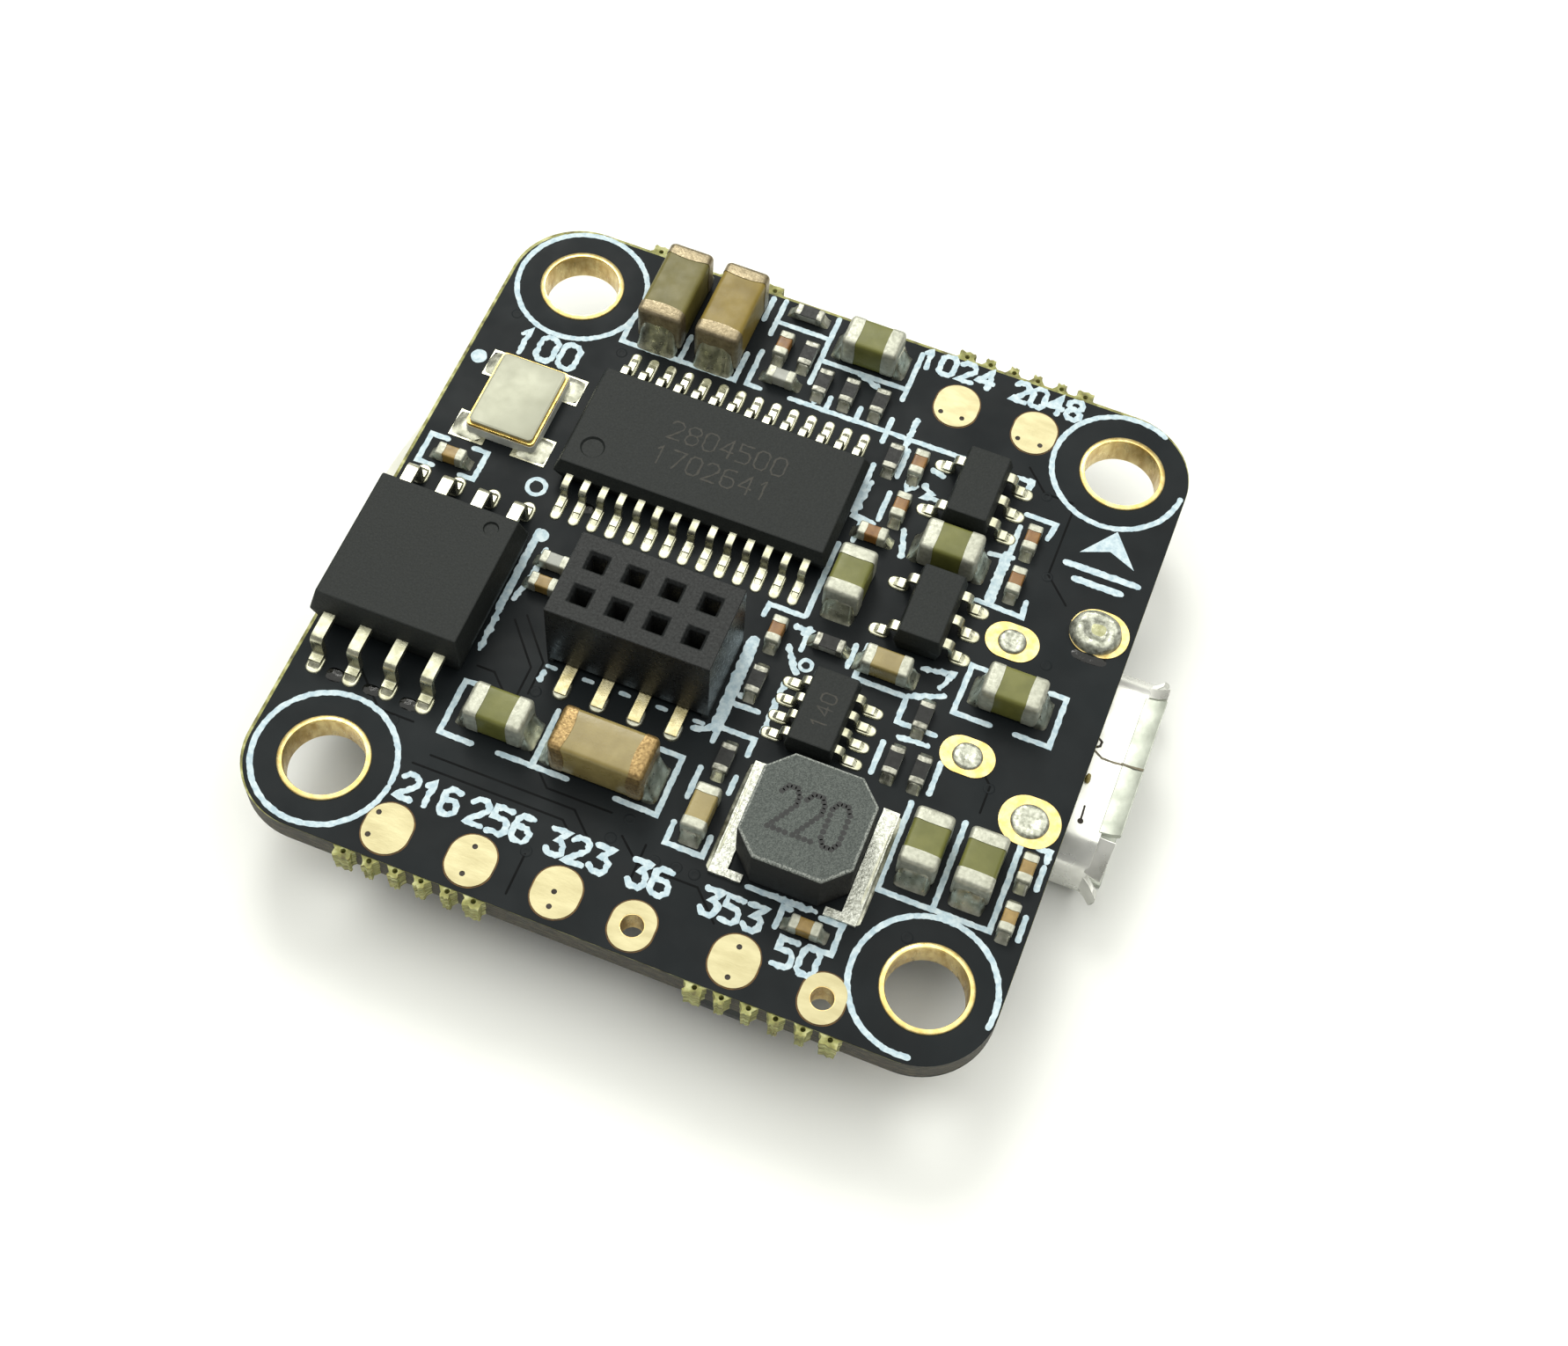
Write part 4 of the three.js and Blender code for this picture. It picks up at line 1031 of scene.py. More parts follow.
# Size of the moulded body and lead pitch, ways that rows of leads face and their counts, width,
# thickness and flat toe of a lead, solder beyond the toe, and draft of the body's sides.
REGULATOR_LEADS = dict(
    body=(1.6, 2.9), pitch=0.95, rows=((RIGHT_WAY, 3), (LEFT_WAY, 2)),
    width=0.36, thickness=0.13, toe=0.25, bed=0.34, draft=0.1,
)
LEADS = {
    "osd_chip": dict(
        body=(9.7, 4.4), pitch=0.65, rows=((FRONT_WAY, 14), (REAR_WAY, 14)),
        width=0.26, thickness=0.13, toe=0.42, bed=0.46, draft=0.17,
    ),
    "flash_chip": dict(
        body=(5.25, 5.25), pitch=1.27, rows=((FRONT_WAY, 4), (REAR_WAY, 4)),
        width=0.42, thickness=0.2, toe=0.3, bed=0.34, draft=0.2,
    ),
    "regulator_rear": REGULATOR_LEADS,
    "regulator_middle": REGULATOR_LEADS,
    "buck_converter": dict(
        body=(1.6, 2.9), pitch=0.65, rows=((RIGHT_WAY, 4), (LEFT_WAY, 4)),
        width=0.3, thickness=0.12, toe=0.3, bed=0.3, draft=0.08,
    ),
    "microcontroller": dict(
        body=(7.0, 7.0), pitch=0.5,
        rows=((RIGHT_WAY, 12), (REAR_WAY, 12), (LEFT_WAY, 12), (FRONT_WAY, 12)),
        width=0.22, thickness=0.12, toe=0.3, bed=0.3, draft=0.12,
    ),
}
# Pin-one dimples: place from the body's middle, and radius.
DIMPLES = {
    "osd_chip": (-3.85, -1.16, 0.42),
    "flash_chip": (1.7, 1.82, 0.26),
    "microcontroller": (-2.7, -2.7, 0.4),
}
DIMPLE_DEPTH = 0.07
STANDOFF = 0.1


def chip_body(solid, x, y, half_x, half_y, low, high, draft, dimple=None, side=UP):
    """Moulded body: both halves taper away from the parting line, with a pin-one dimple."""
    base = TOP if side == UP else UNDERSIDE
    middle = (low + high) / 2

    def ring(up, inset):
        outline = rounded_rectangle(x, y, half_x - inset, half_y - inset, 0.06, steps=2)
        return raised(outline, base + side * up)

    soft = 0.05
    rings = [ring(low, draft), ring(middle - 0.03, 0.0), ring(middle + 0.03, 0.0)]
    rings += [ring(high - soft, draft), ring(high - soft * 0.3, draft + soft * 0.3)]
    rings += [ring(high, draft + soft)]
    if not dimple:
        solid.loft(rings)
        return
    solid.loft(rings, last=False)
    face = [(px, py) for px, py, _ in rings[-1]]
    pit = circle(x + dimple[0], y + dimple[1], dimple[2], 32)
    floor = circle(x + dimple[0], y + dimple[1], dimple[2] * 0.86, 32)
    top, bottom = base + side * high, base + side * (high - DIMPLE_DEPTH)
    solid.flat([face, pit], top)
    solid.loft([raised(pit, top), raised(floor, bottom)], first=False)


def gull_wing(start, tip, middle, thickness, toe, radius):
    """Path of a bent lead: out of the body, round, down, round and along its pad."""
    foot = thickness / 2 + PAD_HEIGHT
    knee = tip - toe - radius * 0.6
    path = [(start, middle)]
    for i in range(5):
        angle = math.pi / 2 * (1 - i / 4)
        out = knee - radius + radius * math.cos(angle)
        path.append((out, middle - radius + radius * math.sin(angle)))
    for i in range(5):
        angle = math.pi + math.pi / 2 * i / 4
        out = knee + radius + radius * math.cos(angle)
        path.append((out, foot + radius + radius * math.sin(angle)))
    path.append((tip, foot))
    return path


def make_leaded_chip(node):
    facts = LEADS[node]
    low, high, x, y, _, _ = footprint(node)
    side = DOWN if node == "microcontroller" else UP
    height = (high.z - TOP) if side == UP else (UNDERSIDE - low.z)
    half_x, half_y = facts["body"][0] / 2, facts["body"][1] / 2
    body = Solid()
    chip_body(body, x, y, half_x, half_y, STANDOFF, height, facts["draft"], DIMPLES.get(node), side)
    body.piece(f"{node}_body", [MOULDING], sharp=18, replaces=[node])
    leads, solder = Solid(), Solid()
    middle = STANDOFF + (height - STANDOFF) / 2
    for turn, count in facts["rows"]:
        sideways = abs(math.sin(turn)) > 0.5
        wall = half_y if sideways else half_x
        tip = (high.y - low.y) / 2 if sideways else (high.x - low.x) / 2
        pitch = facts["pitch"] * (2 if count == 2 else 1)
        for index in range(count):
            along = (index - (count - 1) / 2) * pitch
            place = facing(x - math.sin(turn) * along, y + math.cos(turn) * along, turn, side)
            radius = min(0.16, (middle - facts["thickness"]) / 2.4)
            path = gull_wing(wall - 0.1, tip, middle, facts["thickness"], facts["toe"], radius)
            leads.strip(path, facts["width"], facts["thickness"], place)
            seed = index + 3 * turn + x
            solder_bed(solder, place, tip - facts["toe"] - 0.15, tip + facts["bed"],
                       facts["width"] + 0.12, 0.055)
            fillet(solder, place_from(place, tip - 0.02), facts["width"] + 0.04,
                   facts["bed"] * 0.9, facts["thickness"] * 0.75, seed)
    leads.piece(f"{node}_leads", [LEAD_TIN], bevel=0.02, sharp=40)
    solder.piece(f"{node}_solder", [LEAD_TIN], sharp=70)


def place_from(place, start):
    """The same place, further outwards."""
    return lambda out, sideways, up: place(out + start, sideways, up)


def make_chip_marks():
    """Faint laser-marked numbers on the wide chip and the buck converter."""
    marks = Solid()
    _, high, x, y, _, _ = footprint("osd_chip")
    for text, left, base in (("2804500", x - 1.75, y + 0.18), ("1702641", x - 1.9, y - 0.92)):
        for path in digit_paths(text, left, base, 0.72, 4.3):
            add_ribbon(marks, path, 0.06, high.z - 0.002, high.z + 0.002, 0.5, 0.06, left)
    low, high = node_box("buck_converter")
    for path in digit_paths("140", low.x + 1.7, low.y + 0.75, 0.5, 1.35, math.pi / 2):
        add_ribbon(marks, path, 0.05, high.z - 0.002, high.z + 0.002, 0.4, 0.06, 2)
    marks.piece("laser_marks", [LASER_MARK], sharp=60)


# ---------------------------------------------------------------- capacitors and resistors

# Material of each capacitor's ceramic and ends, by the start of its node's name.
CAPACITOR_LOOKS = (
    ("capacitor_1206_01", OLIVE_TAN, BRONZED_TERMINATION, 0.5),
    ("capacitor_1206_02", HONEY_TAN, BRONZED_TERMINATION, 0.5),
    ("capacitor_1206_03", GOLDEN_TAN, GOLDEN_TERMINATION, 0.5),
    ("capacitor_0805", OLIVE, TERMINATION, 0.5),
    ("capacitor_0603", GOLDEN_TAN, TERMINATION, 0.34),
    ("capacitor_0402_02", AMBER, TERMINATION, 0.27),
    ("capacitor_0402_09", AMBER, TERMINATION, 0.27),
    ("capacitor_0402_1", AMBER, TERMINATION, 0.27),
    ("capacitor_0402", BROWN, TERMINATION, 0.27),
)


def make_two_ended(name, low, high, ceramic, metal, end, along_x, proud=0.02, replaces=(), cap=None):
    """Ceramic body dipped in metal at both ends, standing on the board."""
    part = Solid()
    middle = (low + high) / 2
    axis = 0 if along_x else 1
    half_length = (high[axis] - low[axis]) / 2
    half_width = (high[1 - axis] - low[1 - axis]) / 2
    half_height = (high.z - low.z) / 2
    edge = min(0.17, 0.24 * min(half_width, half_height))
    section = rounded_rectangle(0, 0, half_width, half_height, edge, 4)
    section = resampled(section + section[:1], half_width / 2)[:-1]

    def ring(sign, from_end, inset, bow=0.0):
        points = []
        for side, up in section:
            face_centre = 1 - min(abs(side) / half_width, abs(up) / half_height) ** 2
            along = sign * (half_length - from_end - bow * face_centre)
            side *= 1 - inset / half_width
            up *= 1 - inset / half_height
            out, across = (along, side) if along_x else (side, along)
            points.append((middle.x + out, middle.y + across, middle.z + up))
        return points

    bow = 0.11 if half_length > 1.5 else 0.03
    part.loft([ring(sign, end * 0.5, proud) for sign in (-1, 1)], 0)
    for sign in (-1, 1):
        arc = [math.radians(angle) for angle in (0, 22, 45, 68, 90)]
        rings = [ring(sign, edge * (1 - math.cos(a)), edge * (1 - math.sin(a))) for a in arc]
        rings += [ring(sign, end - bow / 2, inset, bow) for inset in (0.0, proud * 2)]
        part.loft(rings, 1)
    if cap:
        reach, side = half_length - end * 0.9, half_width - proud
        out, across = (reach, side) if along_x else (side, reach)
        top = high.z - proud
        part.box((middle.x - out, middle.y - across, top - 0.02),
                 (middle.x + out, middle.y + across, top + 0.012), 2)
    materials = [ceramic, metal] + ([cap] if cap else [])
    part.piece(name, materials, sharp=50, replaces=replaces)


def solder_ends(solid, low, high, along_x, reach, climb, side=UP):
    """Fillets at both ends of a two-ended part."""
    x, y = (low.x + high.x) / 2, (low.y + high.y) / 2
    length = (high.x - low.x) if along_x else (high.y - low.y)
    width = (high.y - low.y) if along_x else (high.x - low.x)
    turns = (RIGHT_WAY, LEFT_WAY) if along_x else (REAR_WAY, FRONT_WAY)
    for turn in turns:
        out_x, out_y = math.cos(turn), math.sin(turn)
        place = facing(x + out_x * length / 2, y + out_y * length / 2, turn, side)
        fillet(solid, place, width * 0.96, reach, climb, seed=x + 3 * y + turn)


def make_capacitors():
    solder = Solid()
    nodes = sorted(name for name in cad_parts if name.startswith("capacitor"))
    for node in nodes:
        look = next(row for row in CAPACITOR_LOOKS if node.startswith(row[0]))
        low, high = node_box(node)
        along_x = (high.x - low.x) > (high.y - low.y)
        make_two_ended(f"{node}_body", low, high, look[1], look[2], look[3], along_x, replaces=[node])
        height = high.z - low.z
        reach = 0.2 + 0.12 * height
        solder_ends(solder, low, high, along_x, reach, height * 0.6)
    solder.piece("capacitor_solder", [SOLDER], sharp=70)


RESISTORS = (
    (-2.15, 11.9, "x"), (-1.58, 10.25, "y"), (-0.7, 9.35, "y"), (0.28, 9.35, "y"),
    (1.4, 9.35, "y"), (2.6, 7.4, "y"), (3.15, -0.2, "x"), (1.45, -2.35, "y"),
    (6.85, -1.5, "y"), (6.5, -3.37, "y"), (7.4, -3.37, "y"), (1.56, -5.32, "y"),
)
GREY_PARTS = ((-6.2, -0.87, "x"), (-2.1, 8.95, "x"))
RESISTOR_SIZE = (1.0, 0.5, 0.35)


def small_box(x, y, along, height):
    half_x = RESISTOR_SIZE[0] / 2 if along == "x" else RESISTOR_SIZE[1] / 2
    half_y = RESISTOR_SIZE[1] / 2 if along == "x" else RESISTOR_SIZE[0] / 2
    return Vector((x - half_x, y - half_y, TOP)), Vector((x + half_x, y + half_y, TOP + height))


def make_resistors():
    """Smallest parts, which the frame leaves out: glazed tops, white sides, tinned ends."""
    solder = Solid()
    for number, (x, y, along) in enumerate(RESISTORS, 1):
        low, high = small_box(x, y, along, RESISTOR_SIZE[2])
        make_two_ended(
            f"resistor_{number:02d}", low, high, GREY_CERAMIC, DIM_TERMINATION, 0.2, along == "x",
            proud=0.015, cap=RESISTOR_GLAZE,
        )
        solder_ends(solder, low, high, along == "x", 0.26, 0.26)
    for number, (x, y, along) in enumerate(GREY_PARTS, 1):
        low, high = small_box(x, y, along, 0.5)
        make_two_ended(f"ferrite_bead_{number}", low, high, GREY_CERAMIC, TERMINATION, 0.26,
                       along == "x")
        solder_ends(solder, low, high, along == "x", 0.26, 0.3)
    solder.piece("resistor_solder", [SOLDER], sharp=70)


# ---------------------------------------------------------------- crystals and flat sensors


def make_crystal(node, side):
    low, high, x, y, half_x, half_y = footprint(node)
    height = high.z - low.z
    base = TOP if side == UP else UNDERSIDE

    def rings(levels):
        return [
            raised(rounded_rectangle(x, y, half_x - inset, half_y - inset, 0.16, 4), base + side * up)
            for up, inset in levels
        ]

    part = Solid()
    part.loft(rings(((0.02, 0.0), (height * 0.62, 0.0))), 0)
    part.loft(rings(((height * 0.6, 0.02), (height * 0.82, 0.02))), 1)
    part.loft(rings(((height * 0.8, 0.1), (height * 0.97, 0.1), (height, 0.16))), 2)
    part.piece(f"{node}_can", [WHITE_CERAMIC, GOLD_RIM, LID_METAL], sharp=15, replaces=[node])
    pads = Solid()
    for sx in (-1, 1):
        for sy in (-1, 1):
            place = facing(x + sx * (half_x - 0.12), y + sy * (half_y - 0.25), RIGHT_WAY, side)
            land(pads, place, -0.62, 0.62, 1.1, 0)
            lifted = facing(x + sx * (half_x - 0.05), y + sy * (half_y - 0.25), RIGHT_WAY, side,
                            PAD_HEIGHT)
            pads.mound(
                lambda u, v: 0.13 * (1 - u * u) * (1 - v ** 4) * (1 + 0.5 * wobble(u, v, x, 0.5)),
                0.55, 0.5, lifted, 1, steps=8, roundness=0.4,
            )
    pads.piece(f"{node}_solder", [LEAD_TIN, SOLDER], sharp=50)


def make_flat_packages():
    """Motion sensor and barometer: flat packages with pads showing at their edges."""
    for node, material, pads_per_side, dimple in (
        ("motion_sensor", MOULDING, 6, (-1.55, 1.55, 0.16)),
        ("barometer", STEEL, 3, None),
    ):
        low, _, x, y, half_x, half_y = footprint(node)
        height = UNDERSIDE - low.z
        body = Solid()
        if node == "barometer":
            body.plate(
                rounded_rectangle(x, y, half_x, half_y, 0.15), low.z, low.z + height * 0.7,
                [circle(x + 0.7, y + 0.5, 0.16, 24)],
            )
            base_outline = rounded_rectangle(x, y, half_x, half_y, 0.05)
            body.plate(base_outline, low.z + height * 0.71, UNDERSIDE - 0.02, slot=1)
            body.piece(f"{node}_lid", [material, RESISTOR_GLAZE], bevel=0.04, replaces=[node])
        else:
            chip_body(body, x, y, half_x, half_y, 0.02, height, 0.0, dimple, DOWN)
            body.piece(f"{node}_body", [material], sharp=18, replaces=[node])
        pads = Solid()
        for turn in (RIGHT_WAY, REAR_WAY, LEFT_WAY, FRONT_WAY):
            wall, run = (half_y, half_x) if abs(math.sin(turn)) > 0.5 else (half_x, half_y)
            for index in range(pads_per_side):
                along = (index - (pads_per_side - 1) / 2) * (2 * run * 0.8 / pads_per_side)
                place = facing(
                    x + math.cos(turn) * wall - math.sin(turn) * along,
                    y + math.sin(turn) * wall + math.cos(turn) * along, turn, DOWN,
                )
                land(pads, place, -0.3, 0.22, 0.26, 0)
                fillet(pads, place, 0.24, 0.18, 0.16, along, slot=1)
        pads.piece(f"{node}_solder", [LEAD_TIN, SOLDER], sharp=50)


# ---------------------------------------------------------------- power inductor


def make_inductor():
    _, high, x, y, half, _ = footprint("inductor_core")
    chamfer = 0.75

    def octagon(inset):
        reach, near = half - inset, half - chamfer - inset * 0.4
        return [
            (x + dx, y + dy)
            for dx, dy in (
                (near, -reach), (reach, -near), (reach, near), (near, reach),
                (-near, reach), (-reach, near), (-reach, -near), (-near, -reach),
            )
        ]

    core = Solid()
    # the upright sides take the darker ferrite, painted shade
    sides = ((0.06, 0.03), (0.5, 0.0), (1.9, 0.0))
    core.loft([raised(octagon(inset), TOP + up) for up, inset in sides], 1, last=False)
    # the rounded top edge takes the lighter ferrite, painted highlight
    edge = ((1.9, 0.0), (1.96, 0.02), (2.0, 0.09))
    edge_rings = [raised(octagon(inset), TOP + up) for up, inset in edge]
    core.loft(edge_rings, 2, first=False, last=False)
    core.flat([octagon(0.09)], TOP + 2.0)
    core.piece("inductor_body", [FERRITE, FERRITE_SIDE_SHADE, FERRITE_EDGE_HIGHLIGHT], sharp=22,
               replaces=["inductor_core"])
    dots = Solid()
    for path in digit_paths("220", x - 1.05, y - 0.76, 1.5, 2.45):
        for point in resampled(path, 0.21):
            outline = circle(point.x, point.y, 0.098, 10)
            dots.plate(outline, high.z - 0.003, high.z + 0.001)
    dots.piece("inductor_value_dots", [VALUE_INK], sharp=60)
    for side, name in ((-1, "left"), (1, "right")):
        node = f"inductor_terminal_{name}"
        t_low, t_high = node_box(node)
        foot_length, foot_width = 0.52, 0.28
        inner = x + side * half
        outer = t_low.x if side < 0 else t_high.x
        toe = inner - side * foot_length
        corners = [
            (outer, t_low.y), (toe, t_low.y), (toe, t_low.y + foot_width),
            (inner, t_low.y + foot_width), (inner, t_high.y), (outer, t_high.y),
        ]
        outline = [
            (p.x + 0.02 * wobble(p.x, p.y, side, 0.3), p.y + 0.02 * wobble(p.y, p.x, side, 0.3))
            for p in resampled(corners + corners[:1], 0.15)[:-1]
        ]
        terminal = Solid()
        terminal.plate(outline if side > 0 else outline[::-1], TOP + 0.004, t_high.z - 0.03)
        terminal.piece(f"{node}_plate", [GRANULAR_TIN], bevel=0.03, sharp=50, replaces=[node])
        solder = Solid()
        place = facing(outer - side * 0.06, y, RIGHT_WAY if side > 0 else LEFT_WAY)
        fillet(solder, place, 3.9, 0.2, 0.1, seed=side, taper=0)
        solder.piece(f"inductor_solder_{name}", [SOLDER], sharp=50)


# ---------------------------------------------------------------- header socket


def make_header_socket():
    low, high, x, y, half_x, half_y = footprint("header_socket")
    pitch, columns = 1.27, 4
    mouth, throat, chamfer, depth = 0.36, 0.27, 0.14, 2.7
    channel = 0.24

    def rectangle(cx, cy, half_x, half_y):
        return [(cx - half_x, cy - half_y), (cx + half_x, cy - half_y),
                (cx + half_x, cy + half_y), (cx - half_x, cy + half_y)]

    body = Solid()
    wells = [
        (x + (column - 1.5) * pitch, y + row * pitch / 2)
        for column in range(columns)
        for row in (-1, 1)
    ]
    outline = rectangle(x, y, half_x, half_y)
    body.flat([outline, *[rectangle(cx, cy, mouth, mouth) for cx, cy in wells]], high.z)
    body.loft([raised(outline, low.z + channel), raised(outline, high.z)], 1, last=False)
    for cx, cy in wells:
        narrow = rectangle(cx, cy, throat, throat)
        rings = [raised(rectangle(cx, cy, mouth, mouth), high.z),
                 raised(narrow, high.z - chamfer), raised(narrow, high.z - depth)]
        body.loft(rings, first=False)
    for end in (-1, 1):
        edge = x + end * half_x
        inner = edge - end * 0.22
        x0, x1 = min(edge, inner), max(edge, inner)
        body.box((x0, y - half_y, low.z), (x1, y + half_y, low.z + channel + 0.01))
    body.piece("header_socket_body", [BLACK_PLASTIC, SOCKET_SIDE], bevel=0.035, sharp=30,
               replaces=["header_socket"])
    solder = Solid()
    for row, label, turn in ((-1, "front", FRONT_WAY), (1, "rear", REAR_WAY)):
        for column in range(columns):
            node = f"socket_contact_{label}_{column + 1}"
            contact_low, contact_high = node_box(node)
            cx = (contact_low.x + contact_high.x) / 2
            place = facing(cx, y, turn)
            tip = y - contact_low.y if row < 0 else contact_high.y - y
            foot = 0.075 + PAD_HEIGHT
            path = [(0.72, 2.3), (0.74, 0.5), (0.8, 0.28), (0.95, 0.14), (1.15, foot),
                    (tip - 0.06, foot), (tip, foot - 0.03)]
            contact = Solid()
            contact.strip(path, 0.42, 0.14, place)
            contact.piece(f"{node}_spring", [CONTACT_GOLD], bevel=0.035, replaces=[node])
            solder_bed(solder, place, tip - 0.6, tip + 0.2, 0.56, 0.09)
    solder.piece("socket_solder", [SOLDER], sharp=70)


# ---------------------------------------------------------------- flux left round the joints, and a painted shadow by the rear USB leg

FLUX_AND_SHADOW_POOLS = (
    (-4.15, -4.95, 0.22, 0.3), (-2.89, -4.95, 0.2, 0.32), (-1.62, -4.95, 0.2, 0.3),
    (-11.0, -7.25, 0.3, 0.25), (-9.7, -7.3, 0.3, 0.2), (-8.4, -7.3, 0.32, 0.22),
    # the pool at 11.1, 2.72 is no flux: painted shadow and dark reflection in front of the rear USB
    # leg's tall solder
    (11.1, 2.72, 0.6, 0.22), (-6.2, 1.6, 0.3, 0.2),
)


def make_flux_and_shadow():
    flux = Solid()
    for number, (x, y, half_x, half_y) in enumerate(FLUX_AND_SHADOW_POOLS):
        flux.mound(
            lambda u, v, n=number: 0.035 * (1 - u * u) ** 0.5 * (1 - v * v) ** 0.5
            * (1 + 0.6 * wobble(u, v, n, 0.5)),
            half_x, half_y, facing(x, y, RIGHT_WAY), steps=14, roundness=0.8,
        )
    flux.piece("flux_residue_and_painted_shadow", [FLUX_AND_SHADOW], sharp=80)


# ---------------------------------------------------------------- micro-USB receptacle

USB = dict(half=3.75, flat_half=2.95, drop=0.85, floor=0.3, wall=0.25, mouth=13.4)


def usb_section(x, inset):
    """Loop of the shell's section at x, anticlockwise seen from the mouth."""
    half = USB["half"] - inset
    flat = USB["flat_half"] - inset * 0.5
    roof = UNDERSIDE - inset
    floor = USB["floor"] + inset
    shoulder = UNDERSIDE - USB["drop"] - inset * 0.5
    corners = ((-half, floor, 0.5), (half, floor, 0.5), (half, shoulder, 0.35),
               (flat, roof, 0.4), (-flat, roof, 0.4), (-half, shoulder, 0.35))
    points = []
    for index, (cy, cz, size) in enumerate(corners):
        here = Vector((cy, cz))
        before = Vector(corners[index - 1][:2]) - here
        after = Vector(corners[(index + 1) % len(corners)][:2]) - here
        start = here + before.normalized() * size
        end = here + after.normalized() * size
        for i in range(6):
            t = i / 5
            bend = start * (1 - t) ** 2 + here * 2 * t * (1 - t) + end * t * t
            points.append((x, bend.x, bend.y))
    return points


def flared_sheet(solid, root_points, tip_points, thickness_vector, slot=0):
    """Thin sheet from a root edge to a tip edge, both given as lists of points."""
    middle = [
        (Vector(a) * 0.45 + Vector(b) * 0.55) - Vector(thickness_vector) * 0.25
        for a, b in zip(root_points, tip_points)
    ]
    skin = [[Vector(p) for p in root_points], middle, [Vector(p) for p in tip_points]]
    rings = []
    for row in skin:
        upper = [tuple(p) for p in row]
        lower = [tuple(p - Vector(thickness_vector)) for p in reversed(row)]
        rings.append(upper + lower)
    solid.loft(rings, slot)


def make_usb():
    low, high = node_box("usb_shell")
    back, mouth, wall = low.x, USB["mouth"], USB["wall"]
    shell = Solid()
    rings = [usb_section(back, 0.0), usb_section(mouth, 0.0), usb_section(mouth, wall),
             usb_section(back, wall)]
    shell.loft(rings, closed=True)
    add_usb_lips(shell, mouth, high.x)
    for (x, y), (half_x, half_y), *_ in SHELL_LEGS:
        shell.box((x - half_x, y - half_y, UNDERSIDE - wall), (x + half_x, y + half_y, TOP - 0.05))
    shell.piece("usb_shell_sheet", [STEEL, FLARE_SHADE_STEEL], bevel=0.03, sharp=38,
                replaces=["usb_shell"], segments=3)
    make_usb_seams(mouth, high.x)
    make_usb_tongue()
    make_shell_joints()


def add_usb_lips(shell, mouth, lip):
    """Sheet flared out round the mouth, as far as lip."""
    upper_half, lower_half = 2.6, 3.1
    steps = 12

    def across(half, z, x):
        return [(x, -half + 2 * half * i / steps, z) for i in range(steps + 1)]

    # the upper and lower flares take the darker steel, painted shade
    flared_sheet(shell, across(upper_half, UNDERSIDE + 0.01, mouth - 0.12),
                 across(upper_half, UNDERSIDE + 0.3, lip), (0, 0, 0.22), 1)
    flared_sheet(shell, across(lower_half, USB["floor"] + 0.22, mouth - 0.15),
                 across(lower_half, 0.22, lip), (0, 0, 0.22), 1)
    root_x, side_y = mouth - 0.1, USB["half"]
    for side in (-1, 1):
        # ear on the side wall, with round corners at its tip
        root = [(root_x, side * side_y, 0.7 + 1.1 * i / 6) for i in range(7)]
        tip = [
            (lip - 0.05 - 0.16 * abs(i / 3 - 1) ** 3, side * (side_y + 0.42), 0.8 + 0.9 * i / 6)
            for i in range(7)
        ]
        flared_sheet(shell, root, tip, (0, side * 0.22, 0))
    # long lip down the front bevel, and a short one at the rear
    ramp = [i / 5 for i in range(6)]
    root = [(root_x, -2.72 - (side_y - 2.75) * t, UNDERSIDE - 0.02 - 0.8 * t) for t in ramp]
    tip = [(lip - 0.06 - 0.06 * t, -2.78 - (side_y - 2.6) * t, UNDERSIDE + 0.06 - 0.72 * t)
           for t in ramp]
    flared_sheet(shell, root, tip, (0, -0.06, 0.2))
    root = [(root_x, 2.68 + 0.42 * t, UNDERSIDE - 0.05 - 0.1 * t) for t in ramp]
    tip = [(lip - 0.02, 2.66 + 0.46 * t, UNDERSIDE + 0.32 - 0.1 * t) for t in ramp]
    flared_sheet(shell, root, tip, (0, 0, 0.26))


def make_usb_seams(mouth, lip):
    """Folded seam of the shell's sheet, painted shade in its slit, round hole and notch, and a crumb of
    flux on it.
    """
    seams = Solid()
    top_z = UNDERSIDE + 0.002
    seam = [(RIGHT - 0.6, 0.2), (RIGHT, 0.12), (RIGHT + 0.3, -0.06), (RIGHT + 0.7, -0.06),
            (mouth - 0.1, -0.03)]
    add_ribbon(seams, seam, 0.075, top_z - 0.01, top_z + 0.003)
    seams.strip(
        [(mouth - 0.16, 0.02), (mouth + 0.12, 0.085), (lip - 0.02, 0.312)], 0.075, 0.012,
        lambda out, sideways, up: (out, -0.03 - 0.15 * (out - mouth) + sideways, UNDERSIDE + up),
    )
    seams.piece("usb_shell_seams", [SEAM], sharp=60)
    # painted shade in the shell's slit, round hole and notch
    slits = Solid()
    slit = [(RIGHT + 0.33, -2.45), (RIGHT + 0.3, -1.9)]
    add_ribbon(slits, slit, 0.07, top_z - 0.01, top_z + 0.003)
    slits.plate(circle(RIGHT + 0.33, -2.45, 0.1, 16), top_z - 0.01, top_z + 0.004)
    notch = [(RIGHT + 0.02, 0.58), (RIGHT + 0.14, 0.5), (RIGHT + 0.12, 0.34), (RIGHT + 0.02, 0.26)]
    add_ribbon(slits, notch, 0.08, top_z - 0.01, top_z + 0.003)
    slits.piece("usb_shell_slit_painted_shade", [HOLE_SHADE], sharp=60)
    crumb = Solid()
    crumb.mound(
        lambda u, v: 0.26 * max(0.0, 1 - u ** 4) * max(0.0, 1 - v ** 4), 0.1, 0.17,
        facing(RIGHT + 0.1, -0.95, RIGHT_WAY, lift=UNDERSIDE - TOP - 0.005), steps=8,
        roundness=0.9,
    )
    crumb.piece("flux_crumb", [CRUMB], sharp=80)


